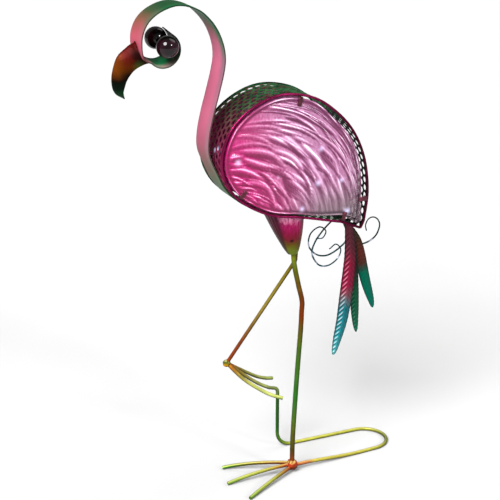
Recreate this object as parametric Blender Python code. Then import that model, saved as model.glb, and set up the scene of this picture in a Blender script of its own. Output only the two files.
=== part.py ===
"""Garden figure: a standing flamingo of painted sheet metal, round rod and two glass side panels.

Metres, +Z up. The bird faces -X, its body lies in the XZ plane and its near side is -Y.
The pieces are drawn about the foot of the standing leg. At the end the whole figure is moved so
that the origin is on the ground, under the middle of its bounding box.
"""
import math

import bpy
import bmesh
from mathutils import Matrix, Vector

HEIGHT = 0.730                      # ground to the crown of the head
UNIT = HEIGHT / 730.0               # the free-form outlines below are drawn in these units

GAP = 0.0003                        # clearance between two pieces that touch

BODY_DEPTH = 0.070                  # between the middles of the two rim wires
RIM_WIRE = 0.0037                   # diameter of the rim wires
BAND_SHEET = 0.0012                 # thickness of the band round the body
RIBBON_WIDTH = 0.042
RIBBON_SHEET = 0.0018
GLASS = 0.003                       # flat thickness of a side panel
FEATHER_RELIEF = 0.0035             # how far the moulded feathers stand out of the glass
PANEL_MARGIN = 0.0009               # free space round a panel, besides its tabs
TAIL_SIDE_MARGIN = 0.0065           # extra free space on the tail side of a panel
TAB_SHEET = 0.0008
TAB_WIDTH = 0.0065
TAB_LENGTH = 0.0155                 # from the rim line to the tip of a tab
TAB_LIFT = 0.0010                   # the tabs press on the foot of the moulded feathers
EYE_DIAMETER = 0.0300
BEAK_SHEET = 0.0012
BEAK_WIDTH = 0.030                  # across the open back of the beak
CONE_SHEET = 0.0012
CONE_TOP = 0.0585                   # diameter of the leg cone under the body
CONE_LEAN = 0.0020                  # its lower end stands this far in front of the leg's axis
LEG_ROD = 0.0075                    # diameter of the standing leg
FOOT_ROD = 0.0056                   # diameter of the raised leg, the toes and the ground loop
TOE_LENGTH = 0.106
TOES = {                            # heading, and height of the axis at the weld
    "toe_middle": (math.radians(1.5), 0.0132),
    "toe_near": (math.radians(-28.2), 0.0088),
    "toe_far": (math.radians(28.5), 0.0150),
}
FOOT_RISE = 0.0120                  # height of the middle of the weld between the toes
WELD = 0.0170                       # diameter of that weld
LOOP_WIDTH = 0.0675                 # between the axes of the two runs of the ground loop
LOOP_REACH = 0.184                  # from the foot to the far end of the ground loop
LOOP_DRIFT = 0.0075                 # the near run bends this far to the far side of the foot
POST_SIDE = 0.078                   # from the foot sideways to the upright part of the support rod
POST_AHEAD = 0.013                  # from the foot backwards to the same
TOE_BEND = 0.0075                   # radius of the bend between the raised toe and the upright part
GROUND_BEND = 0.024                 # radius of the bend between the upright part and the loop
RUN_END = 0.125                     # here the near run starts to rise to the weld
RUN_RISE = 0.0074                   # how far it rises
ANKLE_WELD = 0.0115
SCROLL_WIRE = 0.0025
TAIL_SHEET = 0.0012
TAIL_CREASE = 0.0022                # depth of the fold along a tail feather
LAMP_WIRE = 0.0012
LAMP = 0.0050                       # diameter of one small lamp

SIDES = 8                           # facets round a rod
RIM_SIDES = 6                       # facets round a rim wire
RIM_OUT = RIM_WIRE / 2 / math.cos(math.pi / RIM_SIDES)
RIM_STEPS = 52                      # points round the body outline
NECK_STEPS = 34
HEAD_STEPS = 46
FEATHERS = 11                       # moulded feathers across the near side panel
BACK_FEATHERS = 6                   # broader ones on the far side

# The body's outline from the tail tip along the belly, up the breast and back over the top.
BODY_OUTLINE = (
    (89.5, 391), (56, 405.5), (-7, 421), (-57, 432), (-101, 458), (-123.5, 489), (-128.3, 522),
    (-113, 561), (-80, 588), (-39, 600), (8, 591.5), (45, 567), (73, 535), (91, 494), (97.5, 447),
    (93.5, 408),
)
BODY_MIDDLE = (-18, 500)
# The ribbon from under the breast up the neck and over the crown, down to the beak.
NECK = (
    (-139.5, 521), (-140.5, 545), (-135, 573), (-126.5, 603), (-118.5, 633), (-115.8, 653),
    (-118.5, 672), (-126.5, 692), (-138.5, 708.5), (-155, 722), (-180, 729.1), (-204, 723.8),
    (-222, 711.5), (-231, 695), (-232.6, 678), (-229.5, 664),
)
CURL_CENTRE = (-202.5, 674.5)
CURL_RADIUS = 23.0
CURL_START, CURL_END = 222, 411     # degrees, counter-clockwise seen from the near side
HEAD_LEAN = math.radians(6.0)       # the curl leans: its near edge is the lower one
BEAK_TOP, BEAK_BOTTOM = 684, 658    # heights of the beak's root on the ribbon
BEAK_RIDGE = ((-246.5, 675.5), (-259, 664.8), (-266, 646), (-267.2, 630), (-263, 618), (-251.5, 610))
BEAK_EDGE = (
    (-231, 654.3), (-238.8, 650), (-245, 644), (-250.3, 635), (-252.7, 626.5), (-254, 618), (-251, 609.6),
)
BEAK_SECTION = ((0.0, 0.0), (0.28, 0.52), (0.55, 0.82), (0.8, 0.96), (1.0, 1.0))    # drop, spread
LEG_PATH = (
    (-1.3, 367), (-1.3, 351), (0.8, 333), (7.2, 304), (13.2, 279), (12.9, 262), (11.6, 232),
    (7.6, 176), (3.4, 110), (0.6, 55), (0, 19),
)
THIGH_TOP = (-20, 424)
KNEE_HEIGHT = 341                   # where the raised leg leaves the standing one
RAISED_TOP = (5.2, 5.0, 353.5)      # from the knee it runs up along the standing leg to here
ANKLE = (-80, 62, 171)
RAISED_MIDDLE_TOE = ((-43, 66, 138), (-22, 69, 121.5), (-4, 73, 110))
SOLE_HEIGHT = 105                   # top of the bend where the middle raised toe turns down
RAISED_TOES = (
    ("raised_toe_near", ((-62, 52, 149.5), (-48, 42, 137.5), (-32, 31, 127), (-21, 23, 122), (-9, 15, 119))),
    ("raised_toe_far", ((-60, 69.5, 156), (-41, 77, 142), (-22, 84, 128.5), (-3, 92, 118), (13, 98, 112))),
)
FEATHER_SHAPES = (
    # name, depth, middle line from root to tip, widest, place of the widest point
    ("tail_feather_front", -7, ((84, 390), (86.3, 364), (87.3, 340), (86, 317), (83.7, 294), (81, 271),
                                (76.4, 239.4), (68.8, 208.5), (63.2, 185.5)), 21, 0.5),
    ("tail_feather_middle", 6, ((88, 389), (95.8, 358.4), (99.5, 325), (101.8, 294.3), (104.2, 260),
                                (106.2, 232), (108.5, 210)), 16, 0.5),
    ("tail_feather_back", 12, ((88, 389), (96, 374), (103.5, 362), (109.5, 350), (115, 331), (119, 313),
                               (124, 293), (130.6, 271.3), (136.4, 254), (139.5, 242)), 17, 0.5),
)
SCROLL_SHAPES = (
    ("scroll_front", -3, ((64, 401), (45, 385), (31, 367), (27, 350), (38, 332), (54, 328.5),
                          (69, 337), (74, 350), (66, 359.5), (55, 353.5))),
    ("scroll_middle", 1, ((89, 389.6), (88, 366), (74, 351.5), (54, 343), (36, 347), (23.5, 362),
                          (26, 380), (40, 388.5), (51, 381), (46, 371), (35.5, 371.7))),
    ("scroll_back", 17, ((90.5, 389), (97, 362), (107, 348), (120.8, 345), (134.3, 348.1), (144.3, 355.3),
                         (149.1, 365.6), (149.6, 373.4), (145.1, 381.1), (138.2, 384.5), (131.4, 383.1),
                         (127.4, 378.2), (125.9, 372.2), (127.8, 364.8))),
)
LEAF_STATIONS = (0, 0.07, 0.15, 0.24, 0.33, 0.42, 0.51, 0.6, 0.69, 0.78, 0.86, 0.93, 0.97, 1)
TAB_PLACES = ((-12, 597), (-101, 458), (96.8, 432.5), (55.5, 405.6))
LAMP_ROUTE = (
    (-112, 532), (-105.5, 513.5), (-88, 482), (-45, 485), (-7.5, 434), (30, 431), (64.5, 421), (54, 468.5),
    (17, 469), (21, 518), (-30, 545),
)

PAINTS = {
    # name: colour, roughness, metallic
    "pink_paint": ((0.72, 0.17, 0.33), 0.35, 0.5),
    "band_paint": ((0.06, 0.22, 0.12), 0.4, 0.5),
    "magenta_paint": ((0.70, 0.10, 0.28), 0.3, 0.6),
    "feather_glass": ((0.86, 0.42, 0.62), 0.2, 0.0),
    "tab_metal": ((0.30, 0.07, 0.10), 0.35, 0.8),
    "beak_paint": ((0.48, 0.07, 0.02), 0.25, 0.4),
    "eye_bead": ((0.03, 0.005, 0.015), 0.05, 0.0),
    "cone_paint": ((0.55, 0.05, 0.18), 0.3, 0.6),
    "leg_paint": ((0.34, 0.36, 0.05), 0.3, 0.7),
    "weld_metal": ((0.50, 0.08, 0.02), 0.4, 0.7),
    "tail_paint": ((0.08, 0.30, 0.33), 0.3, 0.6),
    "scroll_paint": ((0.03, 0.13, 0.12), 0.3, 0.7),
    "lamp_wire": ((0.60, 0.60, 0.62), 0.3, 0.8),
}


def paint(name):
    """Return the named material, made the first time it is asked for."""
    found = bpy.data.materials.get(name)
    if found:
        return found
    colour, roughness, metallic = PAINTS[name]
    made = bpy.data.materials.new(name)
    made.use_nodes = True
    shader = made.node_tree.nodes["Principled BSDF"]
    shader.inputs["Base Color"].default_value = (*colour, 1.0)
    shader.inputs["Roughness"].default_value = roughness
    shader.inputs["Metallic"].default_value = metallic
    made.diffuse_color = (*colour, 1.0)
    return made


def add_object(name, bm, material, smooth=True):
    """Close the bmesh into a named object with outward faces."""
    bmesh.ops.recalc_face_normals(bm, faces=bm.faces)
    mesh = bpy.data.meshes.new(name)
    bm.to_mesh(mesh)
    bm.free()
    mesh.materials.append(paint(material))
    if smooth:
        mesh.shade_smooth()
        mesh.set_sharp_from_angle(angle=math.radians(40))
    made = bpy.data.objects.new(name, mesh)
    bpy.context.scene.collection.objects.link(made)
    return made


def ease(share):
    """Smooth step from 0 to 1."""
    share = min(max(share, 0.0), 1.0)
    return share * share * (3 - 2 * share)


def plane_points(pairs, depth=0.0):
    """Turn drawn (x, z) pairs into points at one depth, in metres."""
    return [Vector((x * UNIT, depth, z * UNIT)) for x, z in pairs]


def smooth_curve(points, steps=12, closed=False):
    """Draw a Catmull-Rom curve through the points."""
    count = len(points)
    spans = count if closed else count - 1
    curve = []
    for span in range(spans):
        here = points[span]
        there = points[(span + 1) % count]
        before = points[span - 1] if closed or span > 0 else here * 2 - there
        after = points[(span + 2) % count] if closed or span + 2 < count else there * 2 - here
        for step in range(steps):
            t = step / steps
            curve.append(0.5 * (
                here * 2
                + (there - before) * t
                + (before * 2 - here * 5 + there * 4 - after) * t ** 2
                + (here * 3 - before - there * 3 + after) * t ** 3
            ))
    if not closed:
        curve.append(points[-1].copy())
    return curve


def even_points(curve, count, closed=False):
    """Place count points at equal distances along a curve."""
    line = curve + [curve[0]] if closed else curve
    lengths = [0.0]
    for a, b in zip(line, line[1:]):
        lengths.append(lengths[-1] + (b - a).length)
    spaces = count if closed else count - 1
    placed = []
    span = 0
    for index in range(count):
        wanted = lengths[-1] * index / spaces
        while span < len(line) - 2 and lengths[span + 1] < wanted:
            span += 1
        part = (wanted - lengths[span]) / max(lengths[span + 1] - lengths[span], 1e-9)
        placed.append(line[span].lerp(line[span + 1], min(part, 1.0)))
    return placed


def outward_normals(loop):
    """In-plane unit normals of a closed outline that runs clockwise seen from -Y, with mitres."""
    normals = []
    for index, point in enumerate(loop):
        back = (point - loop[index - 1]).normalized()
        ahead = (loop[(index + 1) % len(loop)] - point).normalized()
        tangent = (back + ahead).normalized()
        normal = Vector((tangent.z, 0, -tangent.x))
        normals.append(normal / max(tangent.dot(ahead), 0.6))
    middle = sum(loop, Vector()) / len(loop)
    if sum(n.dot(p - middle) for n, p in zip(normals, loop)) < 0:
        normals = [-n for n in normals]
    return normals


def offset_loop(loop, distance):
    """Move a closed outline outwards by a distance, or inwards by a negative one."""
    return [p + n * distance for p, n in zip(loop, outward_normals(loop))]


def body_outline():
    """The closed line along which the rim wire and the band run, with a round tail tip."""
    drawn = plane_points(BODY_OUTLINE)
    tip = drawn[0]
    curve = smooth_curve(drawn[1:] + [tip + (drawn[-1] - tip) * 0.5], steps=10)
    curve.append(tip + (drawn[1] - tip) * 0.06)
    curve.append(tip + (drawn[1] - tip) * 0.35)
    return even_points(curve, RIM_STEPS, closed=True)


def height_under(loop, x):
    """Height of the lower side of a closed outline at x."""
    heights = []
    for a, b in zip(loop, loop[1:] + loop[:1]):
        if (a.x - x) * (b.x - x) <= 0 and a.x != b.x:
            heights.append(a.z + (b.z - a.z) * (x - a.x) / (b.x - a.x))
    return min(heights)


def lowest_under(loop, x, half):
    """Lowest point of the lower side of an outline over a width about x."""
    return min(height_under(loop, x + half * step / 4) for step in range(-4, 5))


def bridge(bm, rings, closed=False):
    """Join rings of vertices of equal length with faces and cap the two ends."""
    pairs = list(zip(rings, rings[1:]))
    if closed:
        pairs.append((rings[-1], rings[0]))
    for a, b in pairs:
        for i in range(len(a)):
            j = (i + 1) % len(a)
            bm.faces.new((a[i], a[j], b[j], b[i]))
    if not closed:
        bm.faces.new(rings[0])
        bm.faces.new(rings[-1])


def rod_mesh(path, radius, up=Vector((0, 0, 1)), sides=SIDES, closed=False):
    """Sweep a round section along a path. A flat facet faces away from up, where the rod lies."""
    bm = bmesh.new()
    last = len(path) - 1
    tangents = []
    for index, point in enumerate(path):
        before = path[index - 1] if closed or index > 0 else point
        after = path[(index + 1) % len(path)] if closed or index < last else point
        tangents.append(((point - before).normalized() + (after - point).normalized()).normalized())
    normal = (up - tangents[0] * up.dot(tangents[0])).normalized()
    radii = radius if isinstance(radius, list) else [radius] * len(path)
    rings = []
    for index, point in enumerate(path):
        if index > 0:
            normal = tangents[index - 1].rotation_difference(tangents[index]) @ normal
        side = tangents[index].cross(normal)
        corner = radii[index] / math.cos(math.pi / sides)
        ring = []
        for facet in range(sides):
            angle = 2 * math.pi * (facet + 0.5) / sides
            offset = normal * math.cos(angle) + side * math.sin(angle)
            ring.append(bm.verts.new(point + offset * corner))
        rings.append(ring)
    bridge(bm, rings, closed)
    return bm


def add_rod(name, path, diameter, material, **options):
    """A round rod or wire as its own object."""
    radius = [d / 2 for d in diameter] if isinstance(diameter, list) else diameter / 2
    return add_object(name, rod_mesh(path, radius, **options), material)


def add_ball(name, centre, diameter, material, across=16, down=10):
    """A ball as its own object."""
    bm = bmesh.new()
    bmesh.ops.create_uvsphere(bm, u_segments=across, v_segments=down, radius=diameter / 2)
    bmesh.ops.translate(bm, verts=bm.verts, vec=centre)
    return add_object(name, bm, material)


def cut(target, cutter):
    """Cut one object by another and apply the cut, then remove the cutter."""
    cutter.hide_render = True
    cutter.display_type = "WIRE"
    boolean = target.modifiers.new("cut", "BOOLEAN")
    boolean.operation = "DIFFERENCE"
    boolean.solver = "EXACT"
    boolean.object = cutter
    depsgraph = bpy.context.evaluated_depsgraph_get()
    mesh = bpy.data.meshes.new_from_object(target.evaluated_get(depsgraph))
    target.modifiers.clear()
    target.data = mesh
    bpy.data.objects.remove(cutter)


def add_band(outline):
    """The sheet band round the body, between the two rim wires."""
    reach = BODY_DEPTH / 2 - RIM_WIRE / 2 - GAP
    bm = bmesh.new()
    rings = []
    for out, depth in ((1, -reach), (1, reach), (-1, reach), (-1, -reach)):
        loop = offset_loop(outline, out * BAND_SHEET / 2)
        rings.append([bm.verts.new(p + Vector((0, depth, 0))) for p in loop])
    bridge(bm, rings, closed=True)
    return add_object("body_band", bm, "band_paint")


def panel_inset(point):
    """Distance from the rim line to the edge of the glass, wider on the tail side."""
    basic = RIM_OUT + TAB_SHEET + 2 * GAP + PANEL_MARGIN
    return basic + TAIL_SIDE_MARGIN * ease((point.x / UNIT - 5) / 60)


def clear_of_tabs(point):
    """Fade of the relief near the tabs, from 0 under them to 1 well away from them."""
    fade = 1.0
    for tab in plane_points(TAB_PLACES):
        inward = (plane_points((BODY_MIDDLE,))[0] - tab).normalized()
        along = min(max((point - tab).dot(inward), 0.0), TAB_LENGTH)
        away = (point - tab - inward * along).length
        fade = min(fade, max((away / TAB_WIDTH - 1.5) / 2.2, 0.0))
    return min(fade, 1.0)


def ridge_height(place):
    """Profile across one moulded feather, from 0 to 1: a steep side and a long side."""
    return (0.0, 0.75, 1.0, 0.45)[place % 4]


def add_panel(name, outline, side, feathers, columns):
    """A side panel of moulded glass. Rows run along the feathers, from the breast to the tail."""
    edge = [p - n * panel_inset(p) for p, n in zip(outline, outward_normals(outline))]
    fine = even_points(edge, 720, closed=True)
    start = min(range(720), key=lambda i: (fine[i] - plane_points(((-101, 460),))[0]).length)
    crown = min(range(720), key=lambda i: (fine[i] - plane_points(((-20, 596),))[0]).length)
    ahead = fine[start:] + fine[:start]
    turn = (crown - start) % 720
    breast = ahead[:turn + 1]
    tail = [ahead[0]] + ahead[:turn - 1:-1]
    if breast[len(breast) // 2].x > tail[len(tail) // 2].x:
        breast, tail = tail, breast
    rows = feathers * 4
    bm = bmesh.new()
    flat = side * (BODY_DEPTH / 2 + GLASS / 2)
    grid = []
    for row in range(rows + 1):
        u = row / rows
        root = breast[round(u * (len(breast) - 1))]
        end = tail[round(u ** 1.35 * (len(tail) - 1))]
        swing = (end - root).length * 0.22 * math.sin(math.pi * u)
        bend = (root + end) / 2 + Vector((0.45, 0, 0.9)) * swing
        line = []
        for column in range(columns + 1):
            v = column / columns
            place = root * (1 - v) ** 2 + bend * (2 * v * (1 - v)) + end * v ** 2
            fade = min(1.0, 7 * v * (1 - v)) * min(1.0, 9 * u * (1 - u))
            rise = FEATHER_RELIEF * ridge_height(row) * fade * clear_of_tabs(place)
            line.append(bm.verts.new(place + Vector((0, flat + side * rise, 0))))
            if row in (0, rows):
                break
        grid.append(line)
    for near, far in zip(grid, grid[1:]):
        for column in range(columns):
            a, b = near[min(column, len(near) - 1)], near[min(column + 1, len(near) - 1)]
            c, d = far[min(column + 1, len(far) - 1)], far[min(column, len(far) - 1)]
            bm.faces.new([v for k, v in enumerate((a, b, c, d)) if v not in (a, b, c, d)[:k]])
    border = [line[0] for line in grid] + [line[-1] for line in reversed(grid[1:-1])]
    back = side * (BODY_DEPTH / 2 - GLASS / 2)
    behind = [bm.verts.new(Vector((v.co.x, back, v.co.z))) for v in border]
    for i in range(len(border)):
        j = (i + 1) % len(border)
        bm.faces.new((border[i], border[j], behind[j], behind[i]))
    bm.faces.new(behind)
    return add_object(name, bm, "feather_glass")


def add_tab(name, outline, place, side):
    """A small bent tab on the inside of the rim wire, folded over the edge of the glass."""
    near, far = RIM_OUT + GAP, TAB_LENGTH
    inside = BODY_DEPTH / 2 - RIM_WIRE
    under = BODY_DEPTH / 2 + GLASS / 2 + TAB_LIFT
    over = under + TAB_SHEET
    profile = (
        (near, inside), (near, over), (far, over), (far, under), (near + TAB_SHEET, under),
        (near + TAB_SHEET, inside),
    )
    target = plane_points((place,))[0]
    index = min(range(len(outline)), key=lambda i: (outline[i] - target).length)
    point = outline[index]
    normal = outward_normals(outline)[index].normalized()
    along = Vector((0, 1, 0)).cross(normal)
    bm = bmesh.new()
    rings = []
    for half in (-TAB_WIDTH / 2, TAB_WIDTH / 2):
        ring = []
        for inward, depth in profile:
            ring.append(bm.verts.new(point - normal * inward + along * half + Vector((0, side * depth, 0))))
        rings.append(ring)
    bridge(bm, rings)
    add_object(name, bm, "tab_metal", smooth=False)


def ribbon_path(outline):
    """Middle line of the ribbon: against the breast, up the neck, over the head, into the curl."""
    clear = BAND_SHEET / 2 + GAP + RIBBON_SHEET / 2
    outside = offset_loop(outline, clear)
    breast = [p for p in outside if p.x < -64 * UNIT and p.z < 497 * UNIT]
    breast.sort(key=lambda p: p.z)
    centre = plane_points((CURL_CENTRE,))[0]
    curl = []
    for degrees in range(CURL_START, CURL_END + 1, 21):
        angle = math.radians(degrees)
        curl.append(centre + Vector((math.cos(angle), 0, math.sin(angle))) * CURL_RADIUS * UNIT)
    path = smooth_curve(breast + plane_points(NECK) + curl, steps=10)
    crown = max(range(len(path)), key=lambda i: path[i].z)
    neck = even_points(path[:crown + 1], NECK_STEPS)
    return neck + even_points(path[crown:], HEAD_STEPS)[1:]


def lean_at(point):
    """How far the ribbon leans at a point: nothing down to the forehead, all of it in the curl."""
    centre = plane_points((CURL_CENTRE,))[0]
    far_out = (point - centre).length / UNIT
    return HEAD_LEAN * min(max((34 - far_out) / 10, 0.0), 1.0)


def add_ribbon(path):
    """The flat strip of the neck and head, swept edge-on along its path."""
    bm = bmesh.new()
    rings = []
    for index, point in enumerate(path):
        before = path[max(index - 1, 0)]
        after = path[min(index + 1, len(path) - 1)]
        tangent = (after - before).normalized()
        lean = lean_at(point)
        across = Vector((0, math.cos(lean), math.sin(lean)))
        normal = tangent.cross(across).normalized()
        ring = []
        for side, face in ((-1, -1), (1, -1), (1, 1), (-1, 1)):
            edge = across * side * RIBBON_WIDTH / 2
            ring.append(bm.verts.new(point + edge + normal * face * RIBBON_SHEET / 2))
        rings.append(ring)
    bridge(bm, rings)
    return add_object("neck_ribbon", bm, "pink_paint")


def add_eyes():
    """Two glass balls in the mouth of the curl, touching its inside near the ribbon's end."""
    inner = CURL_RADIUS * UNIT - RIBBON_SHEET / 2
    shift = inner - EYE_DIAMETER / 2 - 2 * GAP
    angle = math.radians(CURL_END - 8)
    centre = plane_points((CURL_CENTRE,))[0] + Vector((math.cos(angle), 0, math.sin(angle))) * shift
    for name, side in (("eye_near", -1), ("eye_far", 1)):
        out = Vector((0, math.cos(HEAD_LEAN), math.sin(HEAD_LEAN))) * side * RIBBON_WIDTH / 2
        add_ball(name, centre + out, EYE_DIAMETER, "eye_bead", across=14, down=10)


def add_beak(path):
    """A beak folded from sheet: a ridge in front, two side walls and an open underside."""
    spans = [(a, b) for a, b in zip(path, path[1:]) if a.z > b.z and a.x < -210 * UNIT]

    def front_at(height):
        """The ribbon's front face at one height."""
        a, b = min(spans, key=lambda s: max(height - s[0].z, s[1].z - height))
        slope = (b.x - a.x) / (b.z - a.z)
        return a.x + slope * (height - a.z) - (RIBBON_SHEET / 2 + GAP) * math.hypot(1, slope)

    def on_ribbon(point):
        """Move a point along X until it just touches the front of the ribbon, between its facets too."""
        front = min(front_at(point.z + step * 0.001) for step in range(-3, 4))
        return Vector((front - GAP, point.y, point.z))

    top_of_root = on_ribbon(Vector((0, 0, BEAK_TOP * UNIT)))
    low_of_root = on_ribbon(Vector((0, 0, BEAK_BOTTOM * UNIT)))
    stations = 11
    ridge = even_points(smooth_curve([top_of_root] + plane_points(BEAK_RIDGE)), stations)
    edge = even_points(smooth_curve([low_of_root] + plane_points(BEAK_EDGE)), stations)
    bm = bmesh.new()
    rings = []
    for index in range(stations):
        share = index / (stations - 1)
        half = BEAK_WIDTH / 2 * (1 - share) ** 0.75 + 0.0009
        top, low = ridge[index], edge[index]
        down = low - top
        wall = min(BEAK_SHEET, down.length * 0.3)
        outer, inner = [], []
        for drop, spread in BEAK_SECTION:
            outer.append(top + down * drop + Vector((0, -half * spread, 0)))
            inset = down.normalized() * wall * 1.6 * (1 - spread)
            inner.append(top + down * drop + inset + Vector((0, -max(half * spread - wall, 0.0), 0)))
        mirrored_outer = [Vector((p.x, -p.y, p.z)) for p in outer[:0:-1]]
        mirrored_inner = [Vector((p.x, -p.y, p.z)) for p in inner[1:]]
        inner[0].y = 0.0
        ring = outer + inner[::-1] + mirrored_inner + mirrored_outer
        if index == 0:
            ring = [on_ribbon(p) for p in ring]
        rings.append([bm.verts.new(p) for p in ring])
    bridge(bm, rings)
    return add_object("beak", bm, "beak_paint")


def add_leg_cone(outline):
    """The fluted sheet cone under the body that takes the top of the leg."""
    belly = offset_loop(outline, BAND_SHEET / 2 + GAP)
    bottom = plane_points((LEG_PATH[1],))[0] + Vector((-CONE_LEAN, 0, 5 * UNIT))
    top = plane_points((THIGH_TOP,))[0]
    hole = LEG_ROD / 2 / math.cos(math.pi / SIDES) + GAP + CONE_LEAN
    around = 28
    levels = 3
    bm = bmesh.new()
    outer, inner = [], []
    for level in range(levels + 1):
        share = level / levels
        walls = []
        for wall in (CONE_SHEET, 0.0):
            ring = []
            for step in range(around):
                angle = 2 * math.pi * step / around
                way = Vector((math.cos(angle), math.sin(angle), 0))
                flute = 0.0008 * share * (1 if step % 2 else -1)
                low = bottom + way * (hole + wall)
                high = top + way * (CONE_TOP / 2 + flute + wall - CONE_SHEET)
                high.z = height_under(belly, high.x)
                ring.append(bm.verts.new(low.lerp(high, share)))
            walls.append(ring)
        outer.append(walls[0])
        inner.append(walls[1])
    bridge(bm, outer + inner[::-1], closed=True)
    return add_object("leg_cone", bm, "cone_paint")


def arched_toe(heading, height, steps=8):
    """Path of a toe that leaves the weld level and bends down to the ground."""
    path = []
    for step in range(steps + 1):
        share = step / steps
        reach = TOE_LENGTH * share
        rise = FOOT_ROD / 2 + (height - FOOT_ROD / 2) * (1 - share ** 2.4)
        path.append(Vector((-math.cos(heading) * reach, math.sin(heading) * reach, rise)))
    return path


def add_standing_foot():
    """Three toes welded together under the leg."""
    weld = Vector((0, 0, FOOT_RISE))
    add_ball("foot_weld", weld, WELD, "weld_metal", across=10, down=7)
    middle = arched_toe(*TOES["toe_middle"])
    for name, (heading, height) in TOES.items():
        toe = add_rod(name, arched_toe(heading, height), FOOT_ROD, "leg_paint")
        cut(toe, add_ball("weld_room", weld, WELD + 2 * GAP, "weld_metal", across=16, down=12))
        if name != "toe_middle":
            cut(toe, add_object("toe_room", rod_mesh(middle, FOOT_ROD / 2 + GAP), "weld_metal"))


def quarter(centre, ahead, start, stop, steps=5):
    """Points on an arc from one angle to another. Ahead is the level way, the other way is up."""
    points = []
    for step in range(steps + 1):
        angle = math.radians(start + (stop - start) * step / steps)
        points.append(centre + ahead * math.cos(angle) + Vector((0, 0, ahead.length)) * math.sin(angle))
    return points


def support_path():
    """The support rod: middle raised toe, down to the ground, out, round and back to the foot."""
    ground = FOOT_ROD / 2
    turn = LOOP_WIDTH / 2
    post = Vector((POST_AHEAD, POST_SIDE, 0))
    toe = [Vector(p) * UNIT for p in (ANKLE,) + RAISED_MIDDLE_TOE]
    top = post + Vector((-TOE_BEND, 0, SOLE_HEIGHT * UNIT - TOE_BEND))
    path = smooth_curve(toe, steps=3)
    path += quarter(top, Vector((TOE_BEND, 0, 0)), 80, 0)
    low = post + Vector((GROUND_BEND, 0, ground + GROUND_BEND))
    for share in (0.35, 0.7):
        path.append(path[-1].lerp(low - Vector((GROUND_BEND, 0, 0)), share))
    path += quarter(low, Vector((GROUND_BEND, 0, 0)), 180, 270)
    centre = Vector((LOOP_REACH - turn, LOOP_DRIFT + turn, ground))
    path.append(path[-1].lerp(centre + Vector((0, turn, 0)), 0.5))
    for step in range(11):
        angle = math.radians(90 - 180 * step / 10)
        path.append(centre + Vector((math.cos(angle), math.sin(angle), 0)) * turn)
    into_weld = WELD / 2 + 0.001
    for step in range(6):
        share = step / 5
        along = RUN_END + (into_weld - RUN_END) * share
        drift = LOOP_DRIFT * (along - into_weld) / (centre.x - into_weld)
        path.append(Vector((along, drift, ground + RUN_RISE * ease(share))))
    return path


def add_supports():
    """The raised leg, its foot, and the support rod with its ground loop."""
    foot_weld = Vector((0, 0, FOOT_RISE))
    ankle = Vector(ANKLE) * UNIT
    clear = (LEG_ROD + FOOT_ROD) / 2 / math.cos(math.pi / SIDES) + GAP
    beside = Vector((ankle.y, -ankle.x, 0)).normalized() * clear
    knee = beside + Vector((0, 0, KNEE_HEIGHT * UNIT))
    leg_way = (ankle - knee).normalized()
    start = ankle - leg_way * (ANKLE_WELD / 2 + GAP)
    line = [Vector(RAISED_TOP) * UNIT, knee] + even_points([knee + leg_way * 0.004, start], 7)
    add_rod("raised_leg", line, FOOT_ROD, "leg_paint", up=Vector((1, 0, 0)))
    add_ball("ankle_weld", ankle, ANKLE_WELD, "weld_metal", across=10, down=6)

    path = support_path()
    support = add_rod("support_rod", path[::-1], FOOT_ROD, "leg_paint")
    for name, places in RAISED_TOES:
        line = [ankle] + [Vector(p) * UNIT for p in places]
        toe = add_rod(name, even_points(smooth_curve(line, steps=4), 8), FOOT_ROD, "leg_paint")
        cut(toe, add_object("rod_room", rod_mesh(path[::-1], FOOT_ROD / 2 + GAP), "weld_metal"))
        cut(toe, add_ball("ankle_room", ankle, ANKLE_WELD + 2 * GAP, "weld_metal"))
    cut(support, add_ball("ankle_room", ankle, ANKLE_WELD + 2 * GAP, "weld_metal"))
    cut(support, add_ball("weld_room", foot_weld, WELD + 2 * GAP, "weld_metal", across=16, down=12))


def add_standing_leg():
    """The standing leg, from inside the cone down to the weld of the foot."""
    path = smooth_curve(plane_points(LEG_PATH), steps=4)
    top_of_weld = FOOT_RISE + WELD / 2 + GAP
    path = [p for p in path if p.z > top_of_weld + 0.002] + [Vector((0, 0, top_of_weld))]
    return add_rod("standing_leg", even_points(path, 16), LEG_ROD, "leg_paint", up=Vector((1, 0, 0)))


def leaf_width(share, place):
    """Width of a tail feather along its length, as a share of its widest."""
    if share < place:
        return 0.6 + 0.4 * math.sin(share / place * math.pi / 2)
    return max(math.cos((share - place) / (1 - place) * math.pi / 2), 0.0) ** 0.42


def add_tail_feather(name, depth, line, widest, place, outline):
    """A long leaf of sheet metal with a fold along its middle, hung under the tail."""
    belly = offset_loop(outline, BAND_SHEET / 2 + GAP)
    drawn = plane_points(line)
    drawn[0].z = lowest_under(belly, drawn[0].x, widest * UNIT / 4)
    middle = even_points(smooth_curve(drawn), 101)
    bm = bmesh.new()
    rings = []
    for share in LEAF_STATIONS:
        index = round(share * 100)
        point = middle[index]
        along = (middle[min(index + 2, 100)] - middle[max(index - 2, 0)]).normalized()
        if index == 0:
            along = Vector((0, 0, -1))
        side = Vector((along.z, 0, -along.x))
        half = max(widest * UNIT / 2 * leaf_width(share, place), TAIL_SHEET * 0.75)
        crease = TAIL_CREASE * min(1.0, half / (widest * UNIT / 2) + 0.1)
        front, back = [], []
        for place_across in (-1.0, -0.5, 0.0, 0.5, 1.0):
            fold = crease * (1 - abs(place_across))
            spot = point + side * half * place_across + Vector((0, depth * UNIT - fold, 0))
            front.append(bm.verts.new(spot - Vector((0, TAIL_SHEET / 2, 0))))
            back.append(bm.verts.new(spot + Vector((0, TAIL_SHEET / 2, 0))))
        rings.append(front + back[::-1])
    bridge(bm, rings)
    return add_object(name, bm, "tail_paint")


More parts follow.
